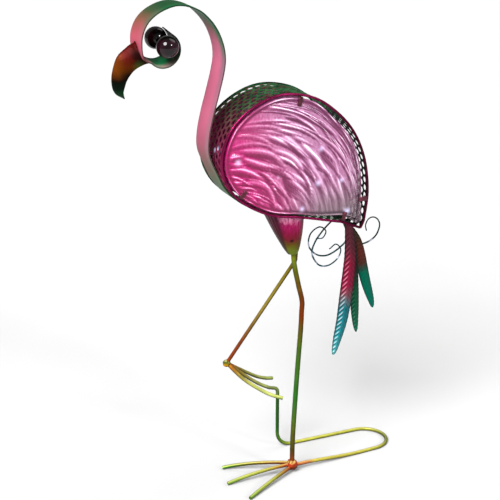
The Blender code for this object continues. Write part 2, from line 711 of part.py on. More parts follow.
def add_scroll(name, depth, line, outline):
    """A thin wire scroll under the tail."""
    belly = offset_loop(outline, BAND_SHEET / 2 + GAP)
    drawn = plane_points(line, depth * UNIT)
    thick = SCROLL_WIRE / 2 / math.cos(math.pi / 6)
    drawn[0].z = lowest_under(belly, drawn[0].x, thick) - SCROLL_WIRE / 3
    path = even_points(smooth_curve(drawn), 25)
    return add_rod(name, path, SCROLL_WIRE, "scroll_paint", up=Vector((0, 1, 0)), sides=6)


def add_lamp_string():
    """The string of small lamps inside the body: one thin wire, swollen at each lamp."""
    depth = -(BODY_DEPTH / 2 - GLASS / 2 - LAMP - 0.0015)
    drawn = plane_points(LAMP_ROUTE, depth)
    path, sizes = [], []
    for index, lamp in enumerate(drawn):
        after = drawn[min(index + 1, len(drawn) - 1)]
        before = drawn[max(index - 1, 0)]
        along = (after - before).normalized()
        for place, size in ((-0.7, LAMP_WIRE), (0, LAMP), (0.7, LAMP_WIRE)):
            path.append(lamp + along * place * LAMP)
            sizes.append(size)
    return add_rod("lamp_string", path, sizes, "lamp_wire", up=Vector((0, 1, 0)), sides=6)


def move_to_base_centre():
    """Move every piece so that the origin is under the middle of the bounding box."""
    meshes = [made.data for made in bpy.context.scene.objects]
    places = [vertex.co for mesh in meshes for vertex in mesh.vertices]
    middle = [(min(p[axis] for p in places) + max(p[axis] for p in places)) / 2 for axis in (0, 1)]
    for mesh in meshes:
        mesh.transform(Matrix.Translation((-middle[0], -middle[1], 0)))


def build():
    """Make every piece of the figure."""
    for existing in list(bpy.data.objects):
        bpy.data.objects.remove(existing)
    outline = body_outline()
    add_band(outline)
    for name, side in (("near", -1), ("far", 1)):
        rim = [p + Vector((0, side * BODY_DEPTH / 2, 0)) for p in outline]
        across = Vector((0, 1, 0))
        add_rod("rim_" + name, rim, RIM_WIRE, "magenta_paint", up=across, sides=RIM_SIDES, closed=True)
        feathers, columns = (FEATHERS, 11) if name == "near" else (BACK_FEATHERS, 9)
        add_panel("panel_" + name, outline, side, feathers, columns)
        for number, place in enumerate(TAB_PLACES, 1):
            add_tab("tab_{}_{}".format(name, number), outline, place, side)
    add_lamp_string()
    path = ribbon_path(outline)
    add_ribbon(path)
    add_eyes()
    add_beak(path)
    add_leg_cone(outline)
    add_standing_leg()
    add_standing_foot()
    add_supports()
    for shape in FEATHER_SHAPES:
        add_tail_feather(*shape, outline)
    for shape in SCROLL_SHAPES:
        add_scroll(*shape, outline)
    move_to_base_centre()


build()
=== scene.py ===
# %% [markdown]
# # A flamingo for the garden, in painted metal and moulded glass
#
# The real figure is a simple piece of metalwork. A flat strip of steel is bent into neck, head and
# curl. A band of perforated sheet is bent round the body and closed on each side by a panel of
# pink glass, moulded in feathers. Legs and feet are round rod. Everything is sprayed with
# translucent metallic paint that runs from one colour into the next.
#
# The measured model already has every piece in its place, but with few facets. This lesson makes
# the finer form of each piece, mostly from a primitive that is shaped and then laid along a drawn
# line, and gives it a finish.

# %% Load the measured model
import math

import bpy
import numpy as np
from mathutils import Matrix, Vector, noise


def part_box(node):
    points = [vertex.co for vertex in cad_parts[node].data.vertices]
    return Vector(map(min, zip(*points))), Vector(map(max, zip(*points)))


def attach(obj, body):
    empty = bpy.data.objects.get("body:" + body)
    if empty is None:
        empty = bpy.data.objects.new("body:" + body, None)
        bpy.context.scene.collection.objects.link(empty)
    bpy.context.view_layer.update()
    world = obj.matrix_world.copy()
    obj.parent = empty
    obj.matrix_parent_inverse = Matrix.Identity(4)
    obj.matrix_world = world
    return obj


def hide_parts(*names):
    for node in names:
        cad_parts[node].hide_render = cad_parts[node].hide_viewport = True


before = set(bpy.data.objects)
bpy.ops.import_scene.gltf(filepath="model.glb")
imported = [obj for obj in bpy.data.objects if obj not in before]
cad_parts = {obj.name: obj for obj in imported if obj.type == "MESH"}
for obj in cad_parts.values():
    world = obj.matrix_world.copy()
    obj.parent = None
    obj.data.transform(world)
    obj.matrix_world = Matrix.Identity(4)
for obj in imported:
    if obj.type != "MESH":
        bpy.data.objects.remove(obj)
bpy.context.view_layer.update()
weld_low, weld_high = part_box("foot_weld")
FOOT = Vector(((weld_low[0] + weld_high[0]) / 2, (weld_low[1] + weld_high[1]) / 2, 0))
print("nodes:", len(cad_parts), "foot at", [round(value, 4) for value in FOOT])

# %% [markdown]
# ## Drawing lines
#
# All shapes are drawn in millimetres from the weld of the standing foot: x runs backwards along
# the bird, y to its far side and z up. A smooth curve through a few chosen points (a Catmull-Rom
# curve) is enough for every rod, strip and outline. The points are then spaced evenly, so that the
# meshes laid along them get even faces.

# %% Lines
def at(x, y, z):
    """A drawn point in millimetres, as a place in the scene."""
    return FOOT + Vector((x, y, z)) / 1000


def drawn(pairs, y=0.0):
    """Drawn (x, z) pairs at one depth."""
    return [at(x, y, z) for x, z in pairs]


def smooth_curve(points, steps=12):
    """A Catmull-Rom curve through the points."""
    curve = []
    for span in range(len(points) - 1):
        here, there = points[span], points[span + 1]
        before = points[span - 1] if span > 0 else here * 2 - there
        after = points[span + 2] if span + 2 < len(points) else there * 2 - here
        for step in range(steps):
            t = step / steps
            bend = (before * 2 - here * 5 + there * 4 - after) * t ** 2
            bend += (here * 3 - before - there * 3 + after) * t ** 3
            curve.append(0.5 * (here * 2 + (there - before) * t + bend))
    return curve + [points[-1].copy()]


def even_points(curve, count, closed=False):
    """Count points at equal distances along a curve."""
    line = curve + [curve[0]] if closed else curve
    lengths = [0.0]
    for a, b in zip(line, line[1:]):
        lengths.append(lengths[-1] + (b - a).length)
    placed = []
    span = 0
    for index in range(count):
        wanted = lengths[-1] * index / (count if closed else count - 1)
        while span < len(line) - 2 and lengths[span + 1] < wanted:
            span += 1
        part = (wanted - lengths[span]) / max(lengths[span + 1] - lengths[span], 1e-9)
        placed.append(line[span].lerp(line[span + 1], min(part, 1.0)))
    return placed


def length_of(loop):
    """Length of a closed line."""
    return sum((b - a).length for a, b in zip(loop, loop[1:] + loop[:1]))


def outward_normals(loop):
    """Unit normals of a closed outline in the plane of the bird, pointing out of it."""
    normals = []
    for index, point in enumerate(loop):
        tangent = (loop[(index + 1) % len(loop)] - loop[index - 1]).normalized()
        normals.append(Vector((tangent.z, 0, -tangent.x)))
    middle = sum(loop, Vector()) / len(loop)
    if sum(n.dot(p - middle) for n, p in zip(normals, loop)) < 0:
        normals = [-n for n in normals]
    return normals


# %% [markdown]
# ## Tools for shaping
#
# A few helpers are used by every piece. They select it alone, open it for editing, apply the
# modifiers that finish its mesh, and hand it over: it rides on the figure, takes the place of the
# measured pieces and gets its paint. Most pieces start as a flat grid or as a curve with a bevel.

# %% Shaping
def start_fresh():
    """Leave edit mode and deselect everything."""
    if bpy.context.object and bpy.context.object.mode != "OBJECT":
        bpy.ops.object.mode_set(mode="OBJECT")
    bpy.ops.object.select_all(action="DESELECT")


def choose(piece):
    """Select one piece and make it the active one."""
    start_fresh()
    piece.select_set(True)
    bpy.context.view_layer.objects.active = piece


def edit(piece):
    """Open a piece in edit mode with all of it selected."""
    choose(piece)
    bpy.ops.object.mode_set(mode="EDIT")
    bpy.ops.mesh.select_all(action="SELECT")


def modify(piece, kind, **settings):
    """Add one modifier to a piece and apply it."""
    choose(piece)
    bpy.ops.object.modifier_add(type=kind)
    modifier = piece.modifiers[-1]
    for key, value in settings.items():
        setattr(modifier, key, value)
    bpy.ops.object.modifier_apply(modifier=modifier.name)


def round_edges(piece, width, angle=50):
    """Bevel the edges that are sharper than an angle."""
    modify(piece, "BEVEL", width=width, segments=2, limit_method="ANGLE", angle_limit=math.radians(angle))


def clean(piece, distance=0.00001):
    """Merge doubles and turn the faces outwards."""
    edit(piece)
    bpy.ops.mesh.remove_doubles(threshold=distance)
    bpy.ops.mesh.normals_make_consistent(inside=False)
    bpy.ops.object.mode_set(mode="OBJECT")


def hand_over(piece, name, finish, *nodes, sharp=35):
    """Name a finished piece, place it for good and let it stand for measured nodes."""
    choose(piece)
    bpy.ops.object.transform_apply(location=True, rotation=True, scale=True)
    bpy.ops.object.shade_smooth_by_angle(angle=math.radians(sharp))
    piece.name = name
    piece.data.materials.clear()
    piece.data.materials.append(finish)
    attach(piece, "root")
    if nodes:
        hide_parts(*nodes)
    print(name, len(piece.data.polygons), "faces")
    return piece


def grid(across, along):
    """A flat grid of unit size with its own UV map: u runs along, v across."""
    start_fresh()
    bpy.ops.mesh.primitive_grid_add(x_subdivisions=along, y_subdivisions=across, size=1)
    return bpy.context.object


def lay(piece, place):
    """Move every vertex of a unit grid to place(u, v), with u and v from 0 to 1."""
    for vertex in piece.data.vertices:
        vertex.co = place(vertex.co.x + 0.5, vertex.co.y + 0.5)


def rod(name, points, diameter, finish, *nodes, closed=False, sides=5):
    """A round rod along a line. The diameter may change along it, as a list of one per point."""
    start_fresh()
    bpy.ops.curve.primitive_bezier_circle_add()
    piece = bpy.context.object
    curve = piece.data
    curve.splines.clear()
    spline = curve.splines.new("POLY")
    spline.points.add(len(points) - 1)
    sizes = diameter if isinstance(diameter, list) else [diameter] * len(points)
    for place, point, size in zip(points, spline.points, sizes):
        point.co = (*place, 1)
        point.radius = size / 2000
    spline.use_cyclic_u = closed
    curve.bevel_depth = 1.0
    curve.bevel_resolution = sides
    curve.use_fill_caps = not closed
    bpy.ops.object.convert(target="MESH")
    piece = bpy.context.object
    line = np.array([tuple(place) for place in points])
    nearest = [((line - tuple(vertex.co)) ** 2).sum(axis=1).argmin() for vertex in piece.data.vertices]
    along = piece.data.attributes.new("along", "FLOAT", "POINT")
    along.data.foreach_set("value", (np.array(nearest) / (len(points) - 1)).astype(np.float32))
    return hand_over(piece, name, finish, *nodes, sharp=50)


# %% [markdown]
# ## A shorthand for paints
#
# A painted surface is never one colour. Each finish is a short sum of ramps, noise and masks. The
# class Value wraps a socket, so that such a sum is written as arithmetic, and Paint makes the
# nodes. Plain numbers go straight onto the shader, and only what changes over a surface is linked.
# The stops of a ramp are one text: each is a place in percent and a colour.

# %% Shader shorthand
def tint(code):
    """A colour written as six hex digits, as the shader wants it."""
    parts = [int(code[i:i + 2], 16) / 255 for i in (0, 2, 4)]
    return tuple(p / 12.92 if p <= 0.04045 else ((p + 0.055) / 1.055) ** 2.4 for p in parts) + (1.0,)


def operator(operation, swapped=False):
    """A method that puts a Math node between a value and another value or number."""
    def method(self, other):
        first, second = (other, self) if swapped else (self, other)
        return self.paint.node("ShaderNodeMath", {"operation": operation}, {0: first, 1: second})
    return method


class Value:
    """A number socket that can stand in a sum."""

    def __init__(self, paint, socket):
        self.paint = paint
        self.socket = socket

    __add__, __radd__ = operator("ADD"), operator("ADD", True)
    __sub__, __rsub__ = operator("SUBTRACT"), operator("SUBTRACT", True)
    __mul__, __rmul__ = operator("MULTIPLY"), operator("MULTIPLY", True)
    __truediv__, __pow__ = operator("DIVIDE"), operator("POWER")

    def clamped(self):
        return self.paint.node("ShaderNodeClamp", {}, {"Value": self})

    def step(self, start, end):
        """0 before start, 1 after end and smooth between."""
        settings = {"interpolation_type": "SMOOTHSTEP"}
        return self.paint.node("ShaderNodeMapRange", settings, {"Value": self, "From Min": start, "From Max": end})


# %% [markdown]
# Paint holds one material. Its methods make the few kinds of node that the finishes need. Places
# are the object's own coordinates, so the paint stays on the piece wherever it is moved.

# %% Paint
class Paint:
    """A finish under construction, round one Principled shader."""

    def __init__(self, name, **plain):
        self.material = bpy.data.materials.new(name)
        self.material.use_nodes = True
        self.tree = self.material.node_tree
        self.shader = self.tree.nodes["Principled BSDF"]
        for key, value in plain.items():
            self.shader.inputs[key.replace("_", " ").title().replace("Ior", "IOR")].default_value = value

    def node(self, kind, settings=None, sockets=None, output=0):
        """Make a node, set it, then fill or link its sockets."""
        node = self.tree.nodes.new(kind)
        for key, value in (settings or {}).items():
            if key == "stops":
                self.set_stops(node.color_ramp, value)
            else:
                setattr(node, key, value)
        for key, value in (sockets or {}).items():
            if isinstance(value, Value):
                self.tree.links.new(value.socket, node.inputs[key])
            else:
                node.inputs[key].default_value = value
        return Value(self, node.outputs[output])

    def set_stops(self, ramp, listed):
        stops = [stop.split() for stop in listed.split(", ")]
        while len(ramp.elements) < len(stops):
            ramp.elements.new(1.0)
        for element, (place, code) in zip(ramp.elements, stops):
            element.position = float(place) / 100
            element.color = tint(code)

    def ramp(self, value, stops):
        """A colour that runs through stops."""
        return self.node("ShaderNodeValToRGB", {"stops": stops}, {"Fac": value})

    def mix(self, share, first, second):
        """Colour between two others."""
        settings = {"data_type": "RGBA"}
        first = tint(first) if isinstance(first, str) else first
        second = tint(second) if isinstance(second, str) else second
        return self.node("ShaderNodeMix", settings, {0: share, 6: first, 7: second}, output=2)

    def place(self, axis):
        """One of the object's own coordinates, in metres, measured from the foot."""
        coordinates = self.node("ShaderNodeTexCoord", output=3)
        index = "XYZ".index(axis)
        return self.node("ShaderNodeSeparateXYZ", {}, {"Vector": coordinates}, output=index) - FOOT[index]

    def uv(self, axis):
        coordinates = self.node("ShaderNodeTexCoord", output=2)
        return self.node("ShaderNodeSeparateXYZ", {}, {"Vector": coordinates}, output="UV".index(axis))

    def distance(self, point):
        """Distance from a point of the figure, in metres."""
        coordinates = self.node("ShaderNodeTexCoord", output=3)
        settings = {"operation": "DISTANCE"}
        return self.node("ShaderNodeVectorMath", settings, {0: coordinates, 1: tuple(point)}, output=1)

    def facing(self, way):
        """1 where the surface faces a direction, -1 where it faces away."""
        normal = self.node("ShaderNodeTexCoord", output=1)
        return self.node("ShaderNodeVectorMath", {"operation": "DOT_PRODUCT"}, {0: normal, 1: way}, output=1)

    def noise(self, scale, detail=2.0, stretch=(1, 1, 1)):
        """Noise from 0 to 1, at a number of blotches per metre."""
        coordinates = self.node("ShaderNodeTexCoord", output=3)
        mapped = self.node("ShaderNodeMapping", {}, {"Vector": coordinates, "Scale": stretch})
        return self.node("ShaderNodeTexNoise", {}, {"Vector": mapped, "Scale": scale, "Detail": detail})

    def attribute(self, name):
        return self.node("ShaderNodeAttribute", {"attribute_name": name}, output=2)

    def feed(self, **links):
        """Link what changes over the surface into the shader."""
        for key, value in links.items():
            self.tree.links.new(value.socket, self.shader.inputs[key.replace("_", " ")])

    def bump(self, height, depth):
        """Small relief of a depth in metres."""
        self.feed(Normal=self.node("ShaderNodeBump", {}, {"Strength": 1.0, "Distance": depth, "Height": height}))


# %% [markdown]
# ## The camera and the light
#
# The camera was found by fitting the rims, the ribbon's edges and the feet: it stands 2 m away, a
# little in front of the bird's near side, and looks down by 20 degrees. The light is that of a
# product table: a pale floor, a dim white room and three soft suns. The first is strong and comes
# from the upper left, so that the relief of the glass shows. The other two fill the right side.

# %% Camera, floor and light
AZIMUTH, ELEVATION, AWAY, LENS, SENSOR = -25, 20.27, 2.0, 101.85, 36
TARGET = at(-70.5, 0, 370.7)
SUNS = ((-52, 43, 6.0, 32), (25, 26, 1.3, 10), (95, 50, 1.0, 45))  # two angles, strength, softness
SUN_AWAY, ROOM_LIGHT, FLOOR_SIZE = 1.8, 0.3, 14


def from_side(azimuth, elevation, distance):
    """A place seen from the target in a direction given by two angles in degrees."""
    turn, rise = math.radians(azimuth), math.radians(elevation)
    level = math.cos(rise) * distance
    return TARGET + Vector((math.sin(turn) * level, -math.cos(turn) * level, math.sin(rise) * distance))


def aim(thing, place):
    """Put a camera or light somewhere and turn it to the target."""
    thing.location = place
    thing.rotation_euler = (TARGET - place).to_track_quat("-Z", "Y").to_euler()


start_fresh()
bpy.ops.object.camera_add()
camera = bpy.context.object
camera.data.sensor_width = SENSOR
camera.data.lens = LENS
aim(camera, from_side(AZIMUTH, ELEVATION, AWAY))
bpy.context.scene.camera = camera

for azimuth, elevation, strength, softness in SUNS:
    bpy.ops.object.light_add(type="SUN")
    lamp = bpy.context.object
    lamp.data.energy = strength
    lamp.data.angle = math.radians(softness)
    aim(lamp, from_side(azimuth, elevation, SUN_AWAY))

world = bpy.data.worlds.new("white_room")
world.use_nodes = True
world.node_tree.nodes["Background"].inputs["Color"].default_value = (1, 1, 1, 1)
world.node_tree.nodes["Background"].inputs["Strength"].default_value = ROOM_LIGHT
bpy.context.scene.world = world
bpy.context.scene.view_settings.view_transform = "Standard"

paint = Paint("pale_floor", roughness=0.9)
paint.feed(Base_Color=paint.ramp(paint.noise(3), "30 bababa, 70 bdbdbd"))
start_fresh()
bpy.ops.mesh.primitive_plane_add(size=FLOOR_SIZE)
floor = bpy.context.object
floor.name = "floor"
floor.data.materials.append(paint.material)
print("camera at", [round(value, 3) for value in camera.location])

# %% [markdown]
# ## The outline of the body
#
# The side view of the body is a drop: round at the breast, pointed at the tail. The rim wires, the
# band and the glass all follow this one line, so it is made once.

# %% Body outline
BODY_DEPTH, RIM_WIRE, BAND_SHEET, GAP, OUTLINE_POINTS = 70.0, 3.7, 1.2, 0.3, 236
BODY_OUTLINE = (
    (89.5, 391), (56, 405.5), (-7, 421), (-57, 432), (-101, 458), (-123.5, 489), (-128.3, 522),
    (-113, 561), (-80, 588), (-39, 600), (8, 591.5), (45, 567), (73, 535), (91, 494), (97.5, 447),
    (93.5, 408),
)
corners = drawn(BODY_OUTLINE)
tip = corners[0]  # stays sharp: the curve stops short of it on both sides
curve = smooth_curve(corners[1:] + [tip + (corners[-1] - tip) * 0.5], steps=10)
curve += [tip + (corners[1] - tip) * 0.06, tip + (corners[1] - tip) * 0.35]
outline = even_points(curve, OUTLINE_POINTS, closed=True)
normals = outward_normals(outline)
PERIMETER = length_of(outline)
print("outline", round(PERIMETER * 1000), "mm long")

# %% [markdown]
# ## The perforated band
#
# Perforated sheet is a pattern of staggered holes with thin bridges of metal between. One cell of
# it is a hexagon: inset it, delete the middle, and a frame is left. Repeated in rows that are
# shifted by half a cell, the frames join into a net. One level of subdivision rounds the holes,
# two cuts give the net straight edges, and a plain strip is added along each of them. The flat net
# is then rolled round the outline.

# %% Band
BAND_CELLS, BAND_ROWS, ROW_STEP, BRIDGE, SELVAGE = 59, 8, 9.0, 2.3, 2.0


def flat_net(pitch):
    """A flat net of hexagonal holes, one pitch apart along x and centred across y."""
    start_fresh()
    bpy.ops.mesh.primitive_circle_add(vertices=6, radius=1, fill_type="NGON")
    net = bpy.context.object
    bpy.ops.object.mode_set(mode="EDIT")
    bpy.ops.transform.resize(value=(pitch / 2 / math.cos(math.pi / 6), ROW_STEP / 1500, 1))
    bpy.ops.mesh.select_all(action="SELECT")
    bpy.ops.mesh.inset(thickness=BRIDGE / 2000)
    bpy.ops.mesh.delete(type="FACE")
    bpy.ops.object.mode_set(mode="OBJECT")
    step = ROW_STEP / 1000
    moves = ((BAND_CELLS, (pitch, 0, 0)), (2, (pitch / 2, step, 0)), (BAND_ROWS // 2, (0, 2 * step, 0)))
    for count, move in moves:
        modify(
            net, "ARRAY", count=count, use_relative_offset=False, use_constant_offset=True,
            constant_offset_displace=move, use_merge_vertices=True, merge_threshold=0.0001,
        )
    modify(net, "SUBSURF", levels=1, render_levels=1)
    for vertex in net.data.vertices:
        vertex.co.y -= step * (BAND_ROWS - 2) / 2
    return net


def trim(piece, half):
    """Cut a flat piece off at both sides, half its new width from the middle."""
    edit(piece)
    for side in (-1, 1):
        bpy.ops.mesh.select_all(action="SELECT")
        bpy.ops.mesh.bisect(plane_co=(0, side * half, 0), plane_no=(0, side, 0), clear_outer=True)
    bpy.ops.object.mode_set(mode="OBJECT")


def join(first, *others):
    """Join pieces into the first one."""
    start_fresh()
    for piece in (first, *others):
        piece.select_set(True)
    bpy.context.view_layer.objects.active = first
    bpy.ops.object.join()
    return first


def round_body(distance):
    """Point and normal of the outline at a distance along it."""
    place = (distance / PERIMETER) % 1.0 * len(outline)
    index = int(place)
    after = (index + 1) % len(outline)
    share = place - index
    return outline[index].lerp(outline[after], share), normals[index].lerp(normals[after], share)


def add_band(finish):
    reach = BODY_DEPTH / 2 - RIM_WIRE / 2 - GAP
    net = flat_net(PERIMETER / BAND_CELLS)
    trim(net, (reach - SELVAGE) / 1000)
    strips = []
    for side in (-1, 1):
        strip = grid(1, BAND_CELLS * 4)
        middle = side * (reach - SELVAGE / 2) / 1000
        lay(strip, lambda u, v: Vector((u * PERIMETER, middle + (v - 0.5) * SELVAGE / 1000, 0)))
        strips.append(strip)
    net = join(net, *strips)
    for vertex in net.data.vertices:
        point, _ = round_body(vertex.co.x)
        vertex.co = Vector((point.x, FOOT.y + vertex.co.y, point.z))
    clean(net)
    modify(net, "SOLIDIFY", thickness=BAND_SHEET / 1000, offset=0.0)
    return hand_over(net, "band_net", finish, "body_band")


paint = Paint("band_enamel", metallic=0.4, specular_tint=(0.1, 0.1, 0.1, 1), specular_ior_level=0.2)
lower = paint.place("Z").step(0.60, 0.53) * paint.place("X").step(0.0, -0.06)
# Painted shade: towards the tail, where the inside of the band shows through the clear glass, the band is darkened
# almost to black.
inside = paint.place("X").step(0.03, 0.07)
patches = paint.noise(45, 3)
green = paint.mix(patches.step(0.35, 0.65), "143c20", "246438")
maroon = paint.mix(patches, "481226", "a03c60")
rusty = paint.noise(140, 2).step(0.52, 0.62) * paint.place("X").step(0.02, -0.04)
green = paint.mix(rusty * 0.7, green, "6a2430")
colour = paint.mix((lower + patches * 0.4 - 0.2).clamped(), green, maroon)
colour = paint.mix(inside * 0.9, colour, "0a120e")
paint.feed(Base_Color=colour, Roughness=patches * 0.2 + 0.35)
paint.bump(paint.noise(900), 0.0001)
add_band(paint.material)

# %% [markdown]
# ## The rims
#
# Each side of the band is closed by a round wire that follows the outline. A wire is a curve with
# a round bevel, turned into a mesh.

# %% Rims
rim_paint = Paint("rim_enamel", metallic=0.85, specular_tint=(0.15, 0.02, 0.05, 1))
back_share = rim_paint.place("X").step(0.02, 0.09)
rim_colour = rim_paint.mix(back_share, "7c1a46", "481226")
rim_colour = rim_paint.mix(rim_paint.noise(60, 4).step(0.4, 0.7) * 0.6, rim_colour, "4c0c28")
rim_paint.feed(Base_Color=rim_colour, Roughness=rim_paint.noise(120) * 0.2 + 0.2)
rim_paint.bump(rim_paint.noise(400, 3), 0.00015)
far_rim_paint = Paint("far_rim_enamel", metallic=0.8, specular_tint=(0.05, 0.05, 0.05, 1))
patches = far_rim_paint.noise(60, 3)
far_colour = far_rim_paint.mix(patches.step(0.4, 0.7), "08160e", "1d4a2c")
far_rim_paint.feed(Base_Color=far_colour, Roughness=patches * 0.2 + 0.3)
for name, side, finish in (("near", -1, rim_paint), ("far", 1, far_rim_paint)):
    line = [point + Vector((0, side * BODY_DEPTH / 2000, 0)) for point in outline]
    rod("rim_wire_" + name, line, RIM_WIRE, finish.material, "rim_" + name, closed=True)

# %% [markdown]
# ## The feather glass
#
# The panels are pressed glass. Long lance-shaped feathers start at the breast, sweep back and turn
# down towards the belly and tail. A grid is laid over the panel so that its rows run with them:
# each row is a curve from a place on the breast to a place on the belly or the tail.

# %% Flow of the feathers
GLASS, RELIEF, TAB_SHEET, TAB_LENGTH, FREE, TAIL_FREE = 3.0, 3.2, 0.8, 15.5, 1.5, 6.5
GLASS_ROWS, GLASS_STEPS, EDGE_POINTS = 230, 180, 720
FEATHER_ROWS, ABREAST, FEATHER_LENGTHS, HALF_WIDTHS = 9, 28, (0.2, 0.42), (0.007, 0.019)
RIM_OUT = RIM_WIRE / 2 / math.cos(math.pi / 6)
TABS = ((-12, 597), (-101, 458), (96.8, 432.5), (55.5, 405.6))
LAMPS = (
    (-112, 532), (-105.5, 513.5), (-88, 482), (-45, 485), (-7.5, 434), (30, 431), (64.5, 421), (54, 468.5),
    (17, 469), (21, 518), (-30, 545),
)


def ease(share):
    share = min(max(share, 0.0), 1.0)
    return share * share * (3 - 2 * share)


def glass_edge():
    """The edge of the glass: inside the rim, with more free space on the tail side."""
    edge = []
    for point, normal in zip(outline, normals):
        inset = RIM_OUT + TAB_SHEET + FREE + TAIL_FREE * ease(((point.x - FOOT.x) * 1000 - 5) / 60)
        edge.append(point - normal * inset / 1000)
    return even_points(edge, EDGE_POINTS, closed=True)


def nearest(line, point):
    return min(range(len(line)), key=lambda i: (line[i] - point).length)


# Where along the breast, then the angles at which a feather leaves the breast and meets the belly.
FLOW = np.array((
    (0.0, -28, -52), (0.13, -14, -68), (0.27, 4, -80), (0.42, 8, -88), (0.57, -6, -90), (0.7, -28, -88),
    (0.85, -50, -84), (1.0, -62, -78),
))


def flow_places(edge, u, v):
    """Places on the glass: u counts the feathers upwards, v runs along them."""
    start, crown = nearest(edge, at(-101, 0, 460)), nearest(edge, at(60, 0, 546))
    ahead = edge[start:] + edge[:start]
    turn = (crown - start) % len(edge)
    lines = [ahead[:turn + 1], [ahead[0]] + ahead[:turn - 1:-1]]
    lines.sort(key=lambda line: line[len(line) // 2].x)
    ends = []
    for line, power in zip(lines, (1.0, 0.82)):
        places = u ** power * (len(line) - 1)
        steps = np.arange(len(line))
        ends.append([np.interp(places, steps, [p[axis] for p in line]) for axis in (0, 2)])
    root, end = (np.array(pair) for pair in ends)
    reach = np.hypot(*(end - root))
    leave = np.radians(np.interp(u, FLOW[:, 0], FLOW[:, 1]))
    arrive = np.radians(np.interp(u, FLOW[:, 0], FLOW[:, 2]))
    first = root + np.array((np.cos(leave), np.sin(leave))) * reach * 0.40
    second = end - np.array((np.cos(arrive), np.sin(arrive))) * reach * 0.36
    w = 1 - v
    return (root * w ** 3 + first * 3 * v * w ** 2 + second * 3 * v ** 2 * w + end * v ** 3).T


print("glass edge", round(length_of(glass_edge()) * 1000), "mm long")


# %% [markdown]
# A feather is a ridge with a steep lower side and a groove beside it. The feathers are pressed one
# after the other in numpy, which is quick, and each covers what lies under it.

# %% Pressed feathers
def press_feathers(u, v, seed):
    """Height and painted light and shade, both from 0 to 1, of overlapping feathers at every (u, v)."""
    chance = np.random.default_rng(seed)
    height, shade = np.full_like(u, 0.15), np.full_like(u, 0.4)
    feathers = []
    for start in np.linspace(-0.08, 0.8, FEATHER_ROWS):
        for index in range(ABREAST):
            feathers.append((start + chance.uniform(-0.07, 0.07), (index + chance.uniform(0.0, 1.0)) / ABREAST))
    for start, middle in sorted(feathers, reverse=True):
        t = (v - start) / (chance.uniform(*FEATHER_LENGTHS) / math.sin(math.pi * (0.12 + 0.8 * middle)))
        inside = np.clip(t, 0.0, 1.0)
        bend = chance.uniform(-0.02, 0.035) * inside + 0.008 * np.sin(inside * 5 + middle * 40)
        half = chance.uniform(*HALF_WIDTHS) * (0.12 + np.sin(np.pi * inside ** 0.75))
        s = (u - middle - bend) / half
        fade = np.clip(t * 5, 0, 1) * np.clip((1 - t) * 3, 0, 1)
        cover = np.clip((1 - np.abs(s)) * 3.5, 0, 1) * fade
        bright = chance.uniform(0.35, 1.0)
        ridge = np.sqrt(np.clip(1 - s * s, 0, 1)) * (0.8 + 0.2 * np.clip(s, -1, 1))
        # Painted light: a painted highlight along the upper side of each feather and painted shade in its groove.
        look = 0.38 + 0.62 * bright * np.exp(-((s - 0.3) / 0.26) ** 2) - 0.36 * np.exp(-((s + 0.8) / 0.3) ** 2)
        height = height * (1 - cover) + ridge * bright * cover
        shade = shade * (1 - cover) + look * cover
        # A painted shadow just below the lower edge of each feather, on the one beneath it.
        shade -= 0.4 * fade * np.exp(-((s + 1.2) / 0.25) ** 2)
    return np.clip(height, 0, 1), np.clip(shade, 0, 1)
